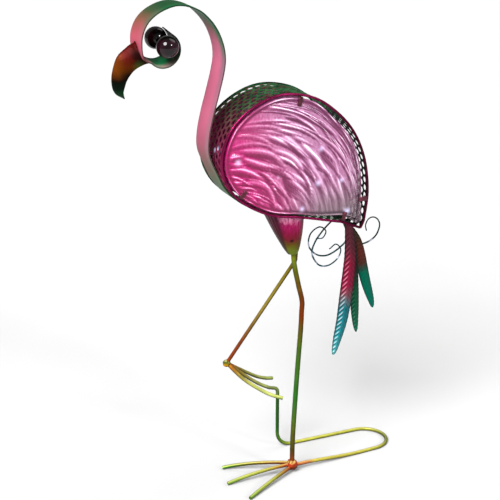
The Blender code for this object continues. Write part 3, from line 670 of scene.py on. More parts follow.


# %% [markdown]
# The grid is moved to its places and raised by the feathers. It stays flat under the tabs and gets
# a bead round its edge, then the edge is extruded and closed behind. Painted light and shade are
# kept as an attribute: painted shade in the grooves and painted highlights on the crests.

# %% Panels
def add_panel(name, side, seed, finish):
    edge = glass_edge()
    panel = grid(GLASS_ROWS, GLASS_STEPS)
    count = len(panel.data.vertices)
    flat = np.zeros(count * 3)
    panel.data.vertices.foreach_get("co", flat)
    v, u = flat[0::3] + 0.5, flat[1::3] + 0.5
    points = flow_places(edge, u, v)
    height, shade = press_feathers(u, v, seed)
    x, z = (points[:, 0] - FOOT.x) * 1000, points[:, 1] * 1000
    calm = np.clip((x + 45) / 70, 0, 1) * np.clip((470 - z) / 45, 0, 1)
    soft = np.clip((-40 - x) / 40, 0, 1) * np.clip((z - 520) / 25, 0, 1) * 0.6
    streaks = 0.45 + 0.13 * np.sin(u * 260 + 2 * np.sin(u * 57)) + 0.08 * np.sin(u * 610)
    shade = shade * (1 - calm) + streaks * calm
    shade = shade * (1 - soft) + 0.42 * soft
    height = height * (1 - 0.7 * calm) * (1 - 0.5 * soft)
    border = np.array([(p.x, p.z) for p in edge])
    gaps = np.array([np.sqrt(((border - point) ** 2).sum(axis=1)).min() for point in points])
    margin = np.clip((gaps - 0.0025) / 0.006, 0.0, 1.0)
    bead = np.exp(-((gaps - 0.0013) / 0.0008) ** 2)
    clear = np.ones(count)
    for tab in drawn(TABS):
        inward = (at(-18, 0, 500) - tab).normalized()
        reach = ((points - (tab.x, tab.z)) @ np.array((inward.x, inward.z))).clip(0, TAB_LENGTH / 1000)
        away = np.sqrt(((points - (tab.x, tab.z) - reach[:, None] * (inward.x, inward.z)) ** 2).sum(axis=1))
        clear *= np.clip((away - 0.0055) / 0.007, 0.0, 1.0)
    rise = RELIEF / 1000 * height * margin * clear + 0.0011 * bead * clear
    face = FOOT.y + side * (BODY_DEPTH / 2 + GLASS / 2) / 1000
    for vertex, place, up in zip(panel.data.vertices, points, rise):
        vertex.co = (place[0], face + side * float(up), place[1])
    patchy = 0.55 + 0.3 * np.sin(u * 23 + v * 31)
    # Painted shade near the edge: the painted light fades darker towards the rim, and a dark line is painted just
    # inside the bead.
    look = shade * (1 - bead) * (0.35 + 0.65 * margin) + bead * patchy
    look -= 0.5 * np.exp(-((gaps - 0.0042) / 0.0010) ** 2)
    painted_light = panel.data.attributes.new("painted_light", "FLOAT", "POINT")
    painted_light.data.foreach_set("value", look.clip(0, 1).astype(np.float32))
    edit(panel)
    bpy.ops.mesh.select_mode(type="EDGE")
    bpy.ops.mesh.remove_doubles(threshold=0.00002)
    bpy.ops.mesh.select_all(action="DESELECT")
    bpy.ops.mesh.select_non_manifold()
    bpy.ops.mesh.extrude_edges_move(TRANSFORM_OT_translate={"value": (0, -side * GLASS / 1000, 0)})
    bpy.ops.mesh.edge_face_add()
    bpy.ops.object.mode_set(mode="OBJECT")
    clean(panel)
    return hand_over(panel, "feather_glass_" + name, finish, "panel_" + name, sharp=60)


# %% [markdown]
# The glass is magenta at the breast, lilac towards the back and greyer at the belly. Each has a
# ramp from painted shade in the grooves to painted highlights on the crests, and masks choose
# between them. Small cold halos of painted glow mark the lamps, and the tail side is half clear.

# %% Glass
HALOS = {1: 3.2, 3: 8.0, 4: 4.0, 6: 3.2, 7: 4.0, 8: 3.2, 9: 4.0}  # lamp and how small it glows
HALO_SIZE = 0.010


def glass_paint(name, side):
    """Pressed pink glass, magenta at the breast and nearly clear at the tail, with painted glow round the lamps.
    """
    paint = Paint(
        name, ior=1.45, coat_weight=0.2, coat_roughness=0.1, transmission_weight=0.05,
        specular_ior_level=0.3, emission_strength=2.0,
    )
    x, z, painted_light = paint.place("X"), paint.place("Z"), paint.attribute("painted_light")
    grain = paint.noise(420, 3, (1, 1, 0.6))
    look = painted_light + (grain - 0.5) * 0.22
    left = paint.ramp(look, "0 74083c, 20 8c0c50, 38 a4165e, 60 c24888, 85 f4b4dc")
    right = paint.ramp(look, "0 5c2444, 20 783c60, 38 9c6488, 60 d4a2c4, 85 fff4fe")
    low = paint.ramp(look, "0 40303a, 30 5e4852, 50 745e68, 75 947c88, 100 ccb8c2")
    colour = paint.mix((x + (grain - 0.5) * 0.04 + (z - 0.52) * 0.35).step(-0.12, 0.0), left, right)
    colour = paint.mix(z.step(0.485, 0.42) * x.step(-0.055, 0.03), colour, low)
    # Painted glow: the glass itself emits a small halo round each lamp.
    glow = 0.0
    for index, power in HALOS.items():
        away = paint.distance(at(LAMPS[index][0], side * BODY_DEPTH / 2, LAMPS[index][1]))
        glow = glow + (1 - away / HALO_SIZE).clamped() ** power
    halo = paint.mix(glow.clamped(), "000000", "d4d8ff")
    clear = x.step(0.045, 0.09)
    paint.feed(
        Base_Color=colour, Emission_Color=halo, Roughness=grain * 0.2 + 0.12,
        Alpha=1 - clear * 0.45,
    )
    paint.bump(grain, 0.0004)
    return paint.material


add_panel("near", -1, 7, glass_paint("feather_glass_near", -1))
add_panel("far", 1, 11, glass_paint("feather_glass_far", 1))

# %% [markdown]
# ## The ribbon
#
# Neck and head are one flat strip on its edge: it lies against the breast, rises in an S, bends
# over the crown and rolls into a small curl that holds the eyes. The curl leans a little, so its
# near edge is the lower one. A long grid is laid along the line, thickened and given rounded
# edges. Its own UV map runs along the strip, and the paint follows that.

# %% Ribbon
RIBBON_WIDTH, RIBBON_SHEET, CURL_RADIUS, RIBBON_STEPS = 42.0, 1.8, 23.0, 320
NECK = (
    (-139.5, 521), (-140.5, 545), (-135, 573), (-126.5, 603), (-118.5, 633), (-115.8, 653),
    (-118.5, 672), (-126.5, 692), (-138.5, 708.5), (-155, 722), (-180, 729.1), (-204, 723.8),
    (-222, 711.5), (-231, 695), (-232.6, 678), (-229.5, 664),
)
CURL_CENTRE = at(-202.5, 0, 674.5)
HEAD_LEAN = math.radians(6.0)


def ribbon_line():
    clear = (BAND_SHEET / 2 + GAP + RIBBON_SHEET / 2) / 1000
    beside = [point + normal * clear for point, normal in zip(outline, normals)]
    breast = [p for p in beside if p.x < at(-64, 0, 0).x and p.z < 0.497]
    breast.sort(key=lambda p: p.z)
    curl = []
    for degrees in range(222, 412, 9):
        angle = math.radians(degrees)
        curl.append(CURL_CENTRE + Vector((math.cos(angle), 0, math.sin(angle))) * CURL_RADIUS / 1000)
    return even_points(smooth_curve(breast[::4] + drawn(NECK) + curl, steps=10), RIBBON_STEPS + 1)


def add_ribbon(finish):
    line = ribbon_line()
    strip = grid(8, RIBBON_STEPS)

    def place(u, v):
        point = line[round(u * RIBBON_STEPS)]
        far_out = (point - CURL_CENTRE).length * 1000
        lean = HEAD_LEAN * min(max((34 - far_out) / 10, 0.0), 1.0)
        across = Vector((0, math.cos(lean), math.sin(lean)))
        return point + across * (v - 0.5) * RIBBON_WIDTH / 1000

    lay(strip, place)
    modify(strip, "SOLIDIFY", thickness=RIBBON_SHEET / 1000, offset=0.0)
    round_edges(strip, 0.0005)
    return hand_over(strip, "neck_strip", finish, "neck_ribbon")


paint = Paint("ribbon_enamel", metallic=0.0, specular_ior_level=0.05)
along, across = paint.uv("U"), paint.uv("V")
patches = paint.noise(40, 3)
wander = along + (patches - 0.5) * 0.03
# In both ramps the last stops run the end of the curl down to near black: painted shade on the inner side of the
# curl.
main = paint.ramp(
    wander,
    "0 1c6034, 11 34583a, 18 6a4c42, 25 94485e, 32 ac5670, 50 ac5670, 54.5 6c4c42, 58 1e482a, 63 104220, "
    "69 143e22, 72.5 34442a, 75.5 74483a, 79 a84858, 85 a0344a, 86.5 3a6a4c, 88.5 0f6a3c, 94.5 0f5a34, "
    "97 04140c, 100 010302",
)
edge = paint.ramp(
    wander,
    "0 1c6a38, 15 4f6448, 24 8a5c68, 36 94586c, 46 7a5866, 50 4a5c48, 54 1f5c34, 64 0f4c26, 70 124a28, "
    "75 5a5444, 80 aa5064, 85.5 8a5058, 87.5 7a8a70, 90 7a6a64, 94 2c3c2c, 97 06140c, 100 010302",
)
strip_mask = (across + (patches - 0.5) * 0.1).step(0.42, 0.12)
rims = (across - 0.5) * (across - 0.5) * 4
colour = paint.mix(strip_mask, main, edge)
colour = paint.mix(rims.step(0.88, 0.99) * 0.75, colour, "142418")
paint.feed(Base_Color=colour, Roughness=paint.noise(150, 3) * 0.15 + 0.36)
paint.bump(paint.noise(700, 2, (1, 0.2, 1)), 0.00008)
add_ribbon(paint.material)

# %% [markdown]
# ## The eyes
#
# The eyes are two dark glass beads in the mouth of the curl. A bead is a ball with a fine parting
# line round its middle, where the two halves of its mould met.

# %% Eyes
EYE = 30.0
paint = Paint("eye_bead", roughness=0.06, specular_ior_level=0.35)
wine = paint.noise(60, 2).step(0.4, 0.75)
paint.feed(Base_Color=paint.mix(wine, "060304", "2a0a18"))
for name in ("near", "far"):
    low, high = (Vector(corner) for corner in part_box("eye_" + name))
    start_fresh()
    bpy.ops.mesh.primitive_uv_sphere_add(segments=48, ring_count=32, radius=EYE / 2000, location=(low + high) / 2)
    bead = bpy.context.object
    for vertex in bead.data.vertices:
        if abs(vertex.co.z) < 0.0002:
            vertex.co *= 1.004
    hand_over(bead, "bead_" + name, paint.material, "eye_" + name, sharp=80)

# %% [markdown]
# ## The beak
#
# The beak is a folded sheet, open underneath. A grid is bent between the line of its ridge and the
# line of its two lower edges, so that its hooked tip is fine and its root lies on the ribbon.

# %% Beak
BEAK_WIDTH, BEAK_SHEET = 30.0, 1.2
BEAK_RIDGE = ((-246.5, 675.5), (-259, 664.8), (-266, 646), (-267.2, 630), (-263, 618), (-251.5, 610))
BEAK_EDGE = (
    (-231, 654.3), (-238.8, 650), (-245, 644), (-250.3, 635), (-252.7, 626.5), (-254, 618), (-251, 609.6),
)


def add_beak(finish):
    front = [p for p in ribbon_line() if p.x < at(-214, 0, 0).x and p.z < 0.700]

    def on_ribbon(z):
        x = min(front, key=lambda p: abs(p.z - z)).x
        return Vector((x - 0.0016, FOOT.y, z))

    ridge = even_points(smooth_curve([on_ribbon(0.684)] + drawn(BEAK_RIDGE)), 61)
    edge = even_points(smooth_curve([on_ribbon(0.658)] + drawn(BEAK_EDGE)), 61)
    beak = grid(36, 60)

    def place(u, v):
        index = round(u * 60)
        w = (v - 0.5) * 2
        drop = abs(w) ** 1.3
        half = (BEAK_WIDTH / 2 * (1 - u) ** 0.75 + 0.9) / 1000
        spread = half * math.sin(math.pi / 2 * drop ** 0.85)
        point = ridge[index].lerp(edge[index], drop)
        root = on_ribbon(point.z).x
        point.x = point.x + (root - point.x) * ease(1 - u * 9)
        point.y += math.copysign(spread, w)
        return point

    lay(beak, place)
    modify(beak, "SOLIDIFY", thickness=BEAK_SHEET / 1000, offset=-1.0)
    round_edges(beak, 0.0003)
    clean(beak, 0.000005)
    return hand_over(beak, "beak_fold", finish, "beak", sharp=45)


paint = Paint("beak_enamel", metallic=0.1, specular_tint=(0.1, 0.05, 0.05, 1), specular_ior_level=0.3)
height, ahead = paint.place("Z"), paint.place("X")
patches = paint.noise(70, 3)
down = (height + (patches - 0.5) * 0.012).step(0.69, 0.608)
fire = paint.ramp(
    down,
    "0 440a0a, 25 460e08, 42 421804, 52 341602, 62 100a04, 72 040403, 90 04120a, 100 0a3018",
)
front = ahead.step(-0.249, -0.266) * down.step(0.78, 0.5)
colour = paint.mix(front * 0.8, fire, "643008")
dark = ahead.step(-0.249, -0.238) * down.step(0.02, 0.15) * down.step(0.45, 0.35)
colour = paint.mix(dark * patches.step(0.2, 0.55) * 0.9, colour, "120606")
# Painted shade: the nostril is not cut, and a near-black spot stands for the shade in its hole.
nostril_shade = (1 - paint.distance(at(-232, -14, 661)) / 0.0035).clamped() ** 0.4
colour = paint.mix(nostril_shade, colour, "080404")
under = (1 - paint.distance(at(-235, -15, 653)) / 0.010).clamped()
colour = paint.mix(under * 0.6, colour, "1c4018")
paint.feed(Base_Color=colour, Roughness=patches * 0.15 + 0.2)
paint.bump(paint.noise(350, 3), 0.00015)
add_beak(paint.material)

# %% [markdown]
# ## The leg cone
#
# The leg is taken up by a leaning cone of thin sheet, with faint flutes. A grid is rolled into a
# ring whose lower end closes round the leg. Its top edge follows the belly and is cut in scallops.

# %% Leg cone
CONE_TOP, CONE_SHEET, CONE_LEAN, FLUTES = 58.5, 1.2, 2.0, 28
CONE_FOOT, FLUTE_DEPTH, SCALLOP, MOUTH, SWELL = 0.0075, 0.0004, 0.0024, 0.0020, 0.0016


def belly_height(x):
    """Height of the underside of the band at x."""
    heights = []
    for a, b in zip(outline, outline[1:] + outline[:1]):
        if (a.x - x) * (b.x - x) <= 0 and a.x != b.x:
            heights.append(a.z + (b.z - a.z) * (x - a.x) / (b.x - a.x))
    return min(heights)


def add_cone(finish):
    cone = grid(24, FLUTES * 8)
    bottom, top = at(-1.3 - CONE_LEAN, 0, 356), at(-20, 0, 424)

    def place(u, v):
        angle = 2 * math.pi * u
        way = Vector((math.cos(angle), math.sin(angle), 0))
        flute = FLUTE_DEPTH * v * math.cos(FLUTES * angle)
        scallop = SCALLOP * ease((v - 0.85) / 0.15) * (0.5 - 0.5 * math.cos(FLUTES / 2 * angle)) ** 2
        low = bottom + way * CONE_FOOT
        high = top + way * (CONE_TOP / 2000 + flute)
        high.z = belly_height(high.x) - CONE_SHEET / 1000
        mouth = MOUTH * ease(1 - v / 0.12)
        point = low.lerp(high, v) + way * SWELL * math.sin(math.pi * v)
        return point - way * mouth * 0.5 - Vector((0, 0, scallop))

    lay(cone, place)
    clean(cone)
    modify(cone, "SOLIDIFY", thickness=CONE_SHEET / 1000, offset=-1.0)
    return hand_over(cone, "fluted_cone", finish, "leg_cone", sharp=50)


paint = Paint("cone_enamel", metallic=0.0, specular_ior_level=0.06)
height = paint.place("Z")
patches = paint.noise(70, 3)
colour = paint.ramp(
    (height + (patches - 0.5) * 0.015).step(0.352, 0.425),
    "0 5a6a1c, 14 54500c, 28 54380c, 42 641420, 60 780c34, 85 941450, 100 a02860",
)
streaks = paint.noise(330, 2, (1, 1, 0.08))
colour = paint.mix(streaks.step(0.6, 0.3) * height.step(0.37, 0.39) * 0.35, colour, "4a0820")
# Painted shade and highlight: the cone is darkened everywhere but a strip on its near front, and that strip gets a
# painted pale pink highlight near the top.
round_share = paint.place("Y") / ((height - 0.343) * 0.42)
sides = round_share.step(-0.9, -0.6)
colour = paint.mix(sides * 0.85, colour, "2a0812")
near = (1 - sides) * (height + (streaks - 0.5) * 0.03).step(0.406, 0.430)
colour = paint.mix(near * 0.85, colour, "f4a8c8")
brown = paint.place("X").step(-0.008, 0.004) * height.step(0.418, 0.39)
colour = paint.mix(brown * patches.step(0.4, 0.6) * 0.7, colour, "4a3008")
# A near-black spot on the near side is painted shade of a small dent.
dent_shade = (1 - paint.distance(at(-13.0, -16.5, 382)) / 0.0036).clamped() ** 0.3
colour = paint.mix(dent_shade, colour, "0a0404")
paint.feed(Base_Color=colour, Roughness=patches * 0.15 + 0.25)
paint.bump(paint.noise(300, 3), 0.0002)
add_cone(paint.material)

# %% [markdown]
# ## Legs, feet and the ground loop
#
# All rods follow their drawn lines. The finish is a translucent lacquer that runs from rust at the
# welds over yellow and olive to green, so each rod has a ramp along its own length. On top of it,
# painted shade darkens the underside and a painted highlight lightens the top.

# %% Rods and lacquers
LEG_ROD, FOOT_ROD, FOOT_RISE, WELD, ANKLE_WELD = 7.5, 5.6, 12.0, 17.0, 11.5
LEG_PATH = (
    (-1.3, 367), (-1.3, 351), (0.8, 333), (7.2, 304), (13.2, 279), (12.9, 262), (11.6, 232),
    (7.6, 176), (3.4, 110), (0.6, 55), (0, 14),
)
ANKLE = at(-80, 62, 171)
TOE_LENGTH = 106.0
TOES = {"middle": (1.5, 13.2), "near": (-28.2, 8.8), "far": (28.5, 15.0)}


def lacquer(name, stops, place=None):
    """Translucent lacquer on a rod: a ramp along it, mottled and glossy, with painted shade below and a painted
    highlight above.
    """
    paint = Paint(name, metallic=0.2, specular_tint=(0.05, 0.05, 0.02, 1), specular_ior_level=0.15)
    mottled = paint.noise(90, 3)
    where = (place(paint) if place else paint.attribute("along")) + (mottled - 0.5) * 0.05
    colour = paint.ramp(where, stops)
    colour = paint.mix(mottled.step(0.2, 0.8) * 0.4, colour, "202808")
    # Painted shade where the surface faces down and away, and a painted pale yellow highlight where it faces up.
    facing = paint.facing((-0.3, -0.35, 0.89))
    colour = paint.mix(facing.step(0.5, -0.1) * 0.8, colour, "141806")
    colour = paint.mix(facing.step(0.8, 1.0) * 0.4, colour, "e4dc80")
    paint.feed(Base_Color=colour, Roughness=mottled * 0.1 + 0.22)
    paint.bump(paint.noise(500, 3), 0.0001)
    return paint.material


leg_lacquer = lacquer(
    "leg_lacquer", "0 7a8420, 9 5a6416, 20 6a4212, 25 6a2c0c, 32 6a2408, 38 56450f, 46 3f5c18, 69 236420, "
    "86 4c4e14, 94 463410, 100 8a3014",
)
toe_lacquer = lacquer(
    "toe_lacquer", "0 9d3521, 12 903a1c, 25 8a6420, 45 8c8c34, 75 8a9a3c, 92 6a8a34, 100 587c2c",
)
far_toe_lacquer = lacquer(
    "far_toe_lacquer", "0 8a2c18, 20 6a2c10, 45 5a4410, 70 4c5010, 88 3a6a1c, 100 4a7a28",
)
raised_lacquer = lacquer(
    "raised_lacquer", "0 5a3a10, 10 6a5a14, 40 86742a, 60 7a602c, 80 7a3418, 100 8a3410",
)
raised_toe_lacquer = lacquer(
    "raised_toe_lacquer", "0 b8801c, 10 9a5a1a, 25 8a7430, 50 9a9c4c, 80 a8b060, 100 8a9a4a",
)
support_lacquer = lacquer(
    "support_lacquer", "0 8a4a18, 6 8a7a34, 14 a0a860, 19 7a8a4a, 21.5 1f5218, 31 1c5618, 35 4f7a20, "
    "40 9c9c3a, 60 8c8c30, 68 4c5420, 76 8c8a30, 94 a89a3c, 96.5 b06a3c, 100 9d3521",
)

# %% [markdown]
# The standing leg is one bent rod. Its toes leave the weld level and bend down to the ground.

# %% Standing leg and toes
leg_line = even_points(smooth_curve(drawn(LEG_PATH), steps=8), 120)
rod("standing_rod", leg_line, LEG_ROD, leg_lacquer, "standing_leg")


def toe_line(heading, height):
    """A toe that leaves the weld level and bends down to the ground."""
    way, ground = math.radians(heading), FOOT_ROD / 2
    line = []
    for step in range(33):
        share = step / 32
        reach = TOE_LENGTH * share
        rise = ground + (height - ground) * (1 - share ** 2.4)
        line.append(at(-math.cos(way) * reach, math.sin(way) * reach, rise))
    return line


for name, (heading, height) in TOES.items():
    finish = far_toe_lacquer if name == "far" else toe_lacquer
    rod("toe_rod_" + name, toe_line(heading, height), FOOT_ROD, finish, "toe_" + name)

# %% [markdown]
# The raised leg starts close beside the standing one, bends there and runs down to its ankle. Two
# of its toes are rods of their own. The third is the start of the support rod.

# %% Raised leg and toes
beside = Vector((ANKLE.y - FOOT.y, FOOT.x - ANKLE.x, 0)).normalized()
clear = (LEG_ROD + FOOT_ROD) / 2000 / math.cos(math.pi / 8) + GAP / 1000
knee = at(0, 0, 341) + beside * clear
bend = [at(5.2, 5.0, 353.5), at(5.0, 5.6, 347), knee, knee.lerp(ANKLE, 0.04), knee.lerp(ANKLE, 0.1)]
shank = smooth_curve(bend, steps=5) + [ANKLE]
rod("raised_rod", even_points(shank, 60), FOOT_ROD, raised_lacquer, "raised_leg")
RAISED_TOES = {
    "near": ((-62, 52, 149.5), (-48, 42, 137.5), (-32, 31, 127), (-21, 23, 122), (-9, 15, 119)),
    "far": ((-60, 69.5, 156), (-41, 77, 142), (-22, 84, 128.5), (-3, 92, 118), (13, 98, 112)),
}
for name, places in RAISED_TOES.items():
    line = even_points(smooth_curve([ANKLE] + [at(*place) for place in places], steps=8), 40)
    rod("raised_toe_rod_" + name, line, FOOT_ROD, raised_toe_lacquer, "raised_toe_" + name)

# %% [markdown]
# The support is one long rod. It starts as the middle toe of the raised foot, turns straight down,
# bends level on the ground, runs back in a long loop and ends in the weld of the standing foot.

# %% Support rod
LOOP_WIDTH, LOOP_REACH, LOOP_DRIFT, POST_SIDE, POST_AHEAD = 67.5, 184.0, 7.5, 78.0, 13.0
TOE_BEND, GROUND_BEND, SOLE_HEIGHT, RUN_END, RUN_RISE = 7.5, 24.0, 105.0, 125.0, 7.4


def quarter(centre, radius, start, stop, steps=10):
    """Drawn points on an upright arc."""
    points = []
    for step in range(steps + 1):
        angle = math.radians(start + (stop - start) * step / steps)
        points.append(at(centre[0] + radius * math.cos(angle), centre[1], centre[2] + radius * math.sin(angle)))
    return points


def support_line():
    ground, turn = FOOT_ROD / 2, LOOP_WIDTH / 2
    sole = [ANKLE, at(-43, 66, 138), at(-22, 69, 121.5), at(-4, 73, 110)]
    line = smooth_curve(sole, steps=6)
    line += quarter((POST_AHEAD - TOE_BEND, POST_SIDE, SOLE_HEIGHT - TOE_BEND), TOE_BEND, 80, 0)
    line += quarter((POST_AHEAD + GROUND_BEND, POST_SIDE, ground + GROUND_BEND), GROUND_BEND, 180, 270)
    middle = (LOOP_REACH - turn, LOOP_DRIFT + turn)
    for step in range(25):
        angle = math.radians(90 - 180 * step / 24)
        line.append(at(middle[0] + turn * math.cos(angle), middle[1] + turn * math.sin(angle), ground))
    for step in range(17):
        share = step / 16
        along = RUN_END - (RUN_END - 4) * share
        line.append(at(along, LOOP_DRIFT * along / middle[0], ground + RUN_RISE * ease(share)))
    return even_points(line, 360)


rod("support_bar", support_line(), FOOT_ROD, support_lacquer, "support_rod")


# %% [markdown]
# A weld is a small heap of molten metal. A ball with fine faces is pushed out and in by noise, so
# it looks like a few beads run together.

# %% Welds
LUMP, FINE_LUMP = 0.22, 0.05


def add_weld(name, centre, size, finish, node):
    start_fresh()
    bpy.ops.mesh.primitive_ico_sphere_add(subdivisions=4, radius=size / 2000)
    weld = bpy.context.object
    for vertex in weld.data.vertices:
        lump = noise.noise(vertex.co * 240 + centre * 40)
        fine = noise.noise(vertex.co * 700)
        vertex.co *= 1 + LUMP * lump + FINE_LUMP * fine
    weld.location = centre
    return hand_over(weld, name, finish, node, sharp=80)


weld_lacquer = lacquer(
    "weld_lacquer", "0 b8481c, 40 a83a1e, 70 7a2214, 100 5a1a10",
    place=lambda paint: paint.noise(120, 2),
)
ankle_lacquer = lacquer(
    "ankle_lacquer", "0 c8901c, 50 a87a14, 75 4a5a1c, 100 16301c",
    place=lambda paint: (paint.place("Z") - 0.165) * 90,
)
add_weld("foot_blob", at(0, 0, FOOT_RISE), WELD, weld_lacquer, "foot_weld")
add_weld("ankle_blob", ANKLE, ANKLE_WELD, ankle_lacquer, "ankle_weld")

# %% [markdown]
# ## Tail feathers
#
# Three long leaves hang under the tail. Each is folded along its middle and pressed with short
# slanting ribs, like the barbs of a feather. The leaf is a grid: its rows run along the middle
# line, its width swells and tapers, and the fold and the ribs are added to the depth.

# %% Tail feathers
TAIL_SHEET, TAIL_CREASE, LEAF_STEPS, RIBS = 1.2, 2.2, 180, 26
FEATHERS = {
    "front": (-7, ((84, 390), (86.3, 364), (87.3, 340), (86, 317), (83.7, 294), (81, 271),
                   (76.4, 239.4), (68.8, 208.5), (63.2, 185.5)), 21),
    "middle": (6, ((88, 389), (95.8, 358.4), (99.5, 325), (101.8, 294.3), (104.2, 260),
                   (106.2, 232), (108.5, 210)), 16),
    "back": (12, ((88, 389), (96, 374), (103.5, 362), (109.5, 350), (115, 331), (119, 313),
                  (124, 293), (130.6, 271.3), (136.4, 254), (139.5, 242)), 17),
}


def leaf_width(share):
    """Width along a leaf as a share of its widest, which is at its middle."""
    if share < 0.5:
        return 0.6 + 0.4 * math.sin(share * math.pi)
    return max(math.cos((share - 0.5) * math.pi), 0.0) ** 0.42


def add_leaf(name, depth, pairs, widest, finish):
    line = even_points(smooth_curve(drawn(pairs, depth)), LEAF_STEPS + 1)
    leaf = grid(20, LEAF_STEPS)
    pressed = []

    def place(u, v):
        index = round(u * LEAF_STEPS)
        along = (line[min(index + 2, LEAF_STEPS)] - line[max(index - 2, 0)]).normalized()
        side = Vector((along.z, 0, -along.x))
        half = max(widest / 2000 * leaf_width(u), 0.0007)
        w = (v - 0.5) * 2
        crease = TAIL_CREASE / 1000 * min(1.0, half * 2000 / widest + 0.1) * (1 - abs(w))
        wave = math.cos(2 * math.pi * (u * RIBS - abs(w) * half * 150))
        fade = (1 - abs(w) ** 6) * ease(abs(w) * 5) * ease(u * 10)
        pressed.append(0.5 + 0.5 * wave * fade)
        return line[index] + side * half * w - Vector((0, crease + 0.0006 * wave * fade, 0))

    lay(leaf, place)
    rib = leaf.data.attributes.new("rib", "FLOAT", "POINT")
    rib.data.foreach_set("value", pressed)
    modify(leaf, "SOLIDIFY", thickness=TAIL_SHEET / 1000, offset=0.0)
    clean(leaf, 0.000005)
    return hand_over(leaf, "leaf_" + name, finish, "tail_feather_" + name, sharp=60)


# %% [markdown]
# Each leaf changes colour down its length. Its upper half has painted highlights on the ribs, its
# lower half painted shade between them, and its edge is darkest.

# %% Paint of the leaves
def leaf_paint(name, edge, glint, rib_shade, stops):
    """Metallic paint that changes down the leaf, with painted highlights on its ribs, painted shade between them
    and darker at its edge.
    """
    paint = Paint(name, metallic=0.4, specular_tint=(0.1, 0.1, 0.1, 1), specular_ior_level=0.3)
    patches = paint.noise(70, 3)
    down = paint.uv("U") + (patches - 0.5) * 0.08
    side, rib = paint.uv("V"), paint.attribute("rib")
    colour = paint.ramp(down, stops)
    border = ((side - 0.5) * (side - 0.5) * 4).step(0.4, 0.95)
    # Painted shade between the ribs and on the rib crests of one half, painted highlights on the crests of the
    # other.
    colour = paint.mix(rib.step(0.5, 0.0) * rib_shade, colour, edge)
    lit = rib.step(0.7, 1.0) * side.step(0.5, 0.7) * down.step(0.12, 0.4) * (paint.noise(140, 2) + 0.25).clamped()
    colour = paint.mix(lit * glint, colour, paint.ramp(
        down, "0 8a5a64, 50 e08aa0, 56 d0d0dc, 100 d4f2f4",
    ))
    colour = paint.mix(side.step(0.55, 0.35) * rib * rib_shade * 0.5, colour, edge)
    colour = paint.mix(border * 0.75, colour, edge)
    paint.feed(Base_Color=colour, Roughness=patches * 0.2 + 0.25)
    paint.bump(paint.noise(800, 2), 0.00008)
    return paint.material


LEAF_COLOURS = {
    "front": ("200c14", 0.9, 0.7, "0 5a2a34, 18 54242e, 30 7a1430, 48 84183a, 54.5 6a4a50, 58.5 54686e, "
              "63 126870, 85 1c8088, 100 4aa0a4"),
    "middle": ("08221a", 0.1, 0.3, "0 301018, 40 241418, 52 1c3024, 62 0c4c30, 100 0c5a40"),
    "back": ("0a2414", 0.0, 0.15, "0 1c3420, 20 3a2c20, 38 5c2420, 50 4a2a22, 56 20443a, 60 025c46, "
             "100 025c4c"),
}
for name, (depth, pairs, widest) in FEATHERS.items():
    add_leaf(name, depth, pairs, widest, leaf_paint("leaf_enamel_" + name, *LEAF_COLOURS[name]))

# %% [markdown]
# ## Scrolls
#
# Three scrolls of thin wire curl round the tail. They are rods that grow a little thinner towards
# their free ends.

# %% Scrolls
SCROLL_WIRE, SCROLL_POINTS = 2.5, 140
SCROLLS = {
    "front": (-3, ((64, 401), (45, 385), (31, 367), (27, 350), (38, 332), (54, 328.5), (69, 337), (74, 350),
                   (66, 359.5), (55, 353.5))),
    "middle": (1, ((89, 389.6), (88, 366), (74, 351.5), (54, 343), (36, 347), (23.5, 362), (26, 380), (40, 388.5),
                   (51, 381), (46, 371), (35.5, 371.7))),
    "back": (17, ((90.5, 389), (97, 362), (107, 348), (120.8, 345), (134.3, 348.1), (144.3, 355.3),
                  (149.1, 365.6), (149.6, 373.4), (145.1, 381.1), (138.2, 384.5), (131.4, 383.1),
                  (127.4, 378.2), (125.9, 372.2), (127.8, 364.8))),
}
paint = Paint("scroll_enamel", metallic=0.3, specular_tint=(0.6, 0.9, 1, 1), specular_ior_level=0.4)
patches = paint.noise(75, 2)
colour = paint.ramp(patches, "30 04120e, 46 0a2c2c, 58 1c3a48, 68 a4a4b4")
near_root = paint.place("Z").step(0.380, 0.398) * paint.place("X").step(0.040, 0.055)
paint.feed(
    Base_Color=paint.mix(near_root, colour, "6a2438"), Roughness=patches * 0.2 + 0.2,
)
paint.bump(paint.noise(500), 0.0001)
for name, (depth, pairs) in SCROLLS.items():
    line = even_points(smooth_curve(drawn(pairs, depth)), SCROLL_POINTS)
    thick = [SCROLL_WIRE * (1 - 0.25 * ease((index - 60) / 80)) for index in range(SCROLL_POINTS)]
    rod("scroll_wire_" + name, line, thick, paint.material, "scroll_" + name)

# %% [markdown]
# ## Tabs
#
# Small bent tabs hold each glass. Copies of the measured ones only need their edges rounded.

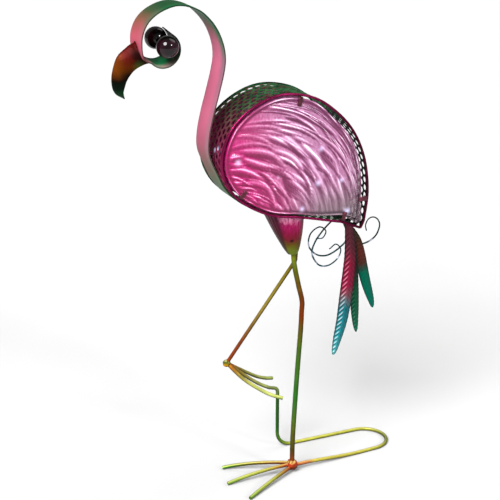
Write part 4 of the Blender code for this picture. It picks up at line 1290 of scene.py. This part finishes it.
# %% Tabs
def copy_tab(node):
    """A copy of a measured tab, with four-sided faces and rounded edges."""
    choose(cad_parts[node])
    bpy.ops.object.duplicate()
    tab = bpy.context.object
    edit(tab)
    bpy.ops.mesh.remove_doubles(threshold=0.00002)
    bpy.ops.mesh.tris_convert_to_quads(face_threshold=math.radians(60), shape_threshold=math.radians(180))
    bpy.ops.object.mode_set(mode="OBJECT")
    round_edges(tab, 0.0002, 40)
    return tab


paint = Paint("tab_enamel", metallic=0.7, coat_weight=0.3)
patches = paint.noise(200, 3)
colour = paint.ramp(patches, "30 2a0d14, 60 5a1a2c, 80 9a4a68")
paint.feed(Base_Color=colour, Roughness=patches * 0.3 + 0.2)
for side in ("near", "far"):
    for number in (1, 2, 3, 4):
        node = "tab_{}_{}".format(side, number)
        hand_over(copy_tab(node), "clip_{}_{}".format(side, number), paint.material, node)

# %% [markdown]
# ## Lamps
#
# Behind the near glass hangs a thin clear wire with small white lamps that give the cold points of
# light. A lamp is a small ball, flatter at the back.

# %% Lamps
LAMP_SIZE, LAMP_WIRE, BEHIND_GLASS = 4.8, 1.2, 6.5
lamp_depth = -(BODY_DEPTH / 2 - GLASS / 2 - BEHIND_GLASS)
wire_paint = Paint("lamp_wire", transmission_weight=0.5, coat_weight=0.3)
wire_colour = wire_paint.mix(wire_paint.noise(200), "b8b4b0", "dcd8d4")
wire_paint.feed(Base_Color=wire_colour, Roughness=wire_paint.noise(90) * 0.2 + 0.15)
light_paint = Paint("lamp_light", emission_strength=14.0, roughness=0.3)
hot = light_paint.noise(300).step(0.3, 0.7)
light_colour = light_paint.mix(hot, "dfe6ff", "ffffff")
light_paint.feed(Base_Color=light_colour, Emission_Color=light_paint.mix(hot, "b9c6ff", "f2f5ff"))
line = even_points(smooth_curve([at(x, lamp_depth, z) for x, z in LAMPS], steps=10), 200)
rod("lamp_cable", line, LAMP_WIRE, wire_paint.material, "lamp_string", sides=2)
bulbs = []
for x, z in LAMPS:
    start_fresh()
    place = at(x, lamp_depth, z)
    bpy.ops.mesh.primitive_uv_sphere_add(segments=16, ring_count=10, radius=LAMP_SIZE / 2000, location=place)
    bulb = bpy.context.object
    for vertex in bulb.data.vertices:
        vertex.co.y *= 1.0 if vertex.co.y < 0 else 0.7
        vertex.co.x *= 0.9
    bulbs.append(bulb)
hand_over(join(*bulbs), "lamp_bulbs", light_paint.material, sharp=60)
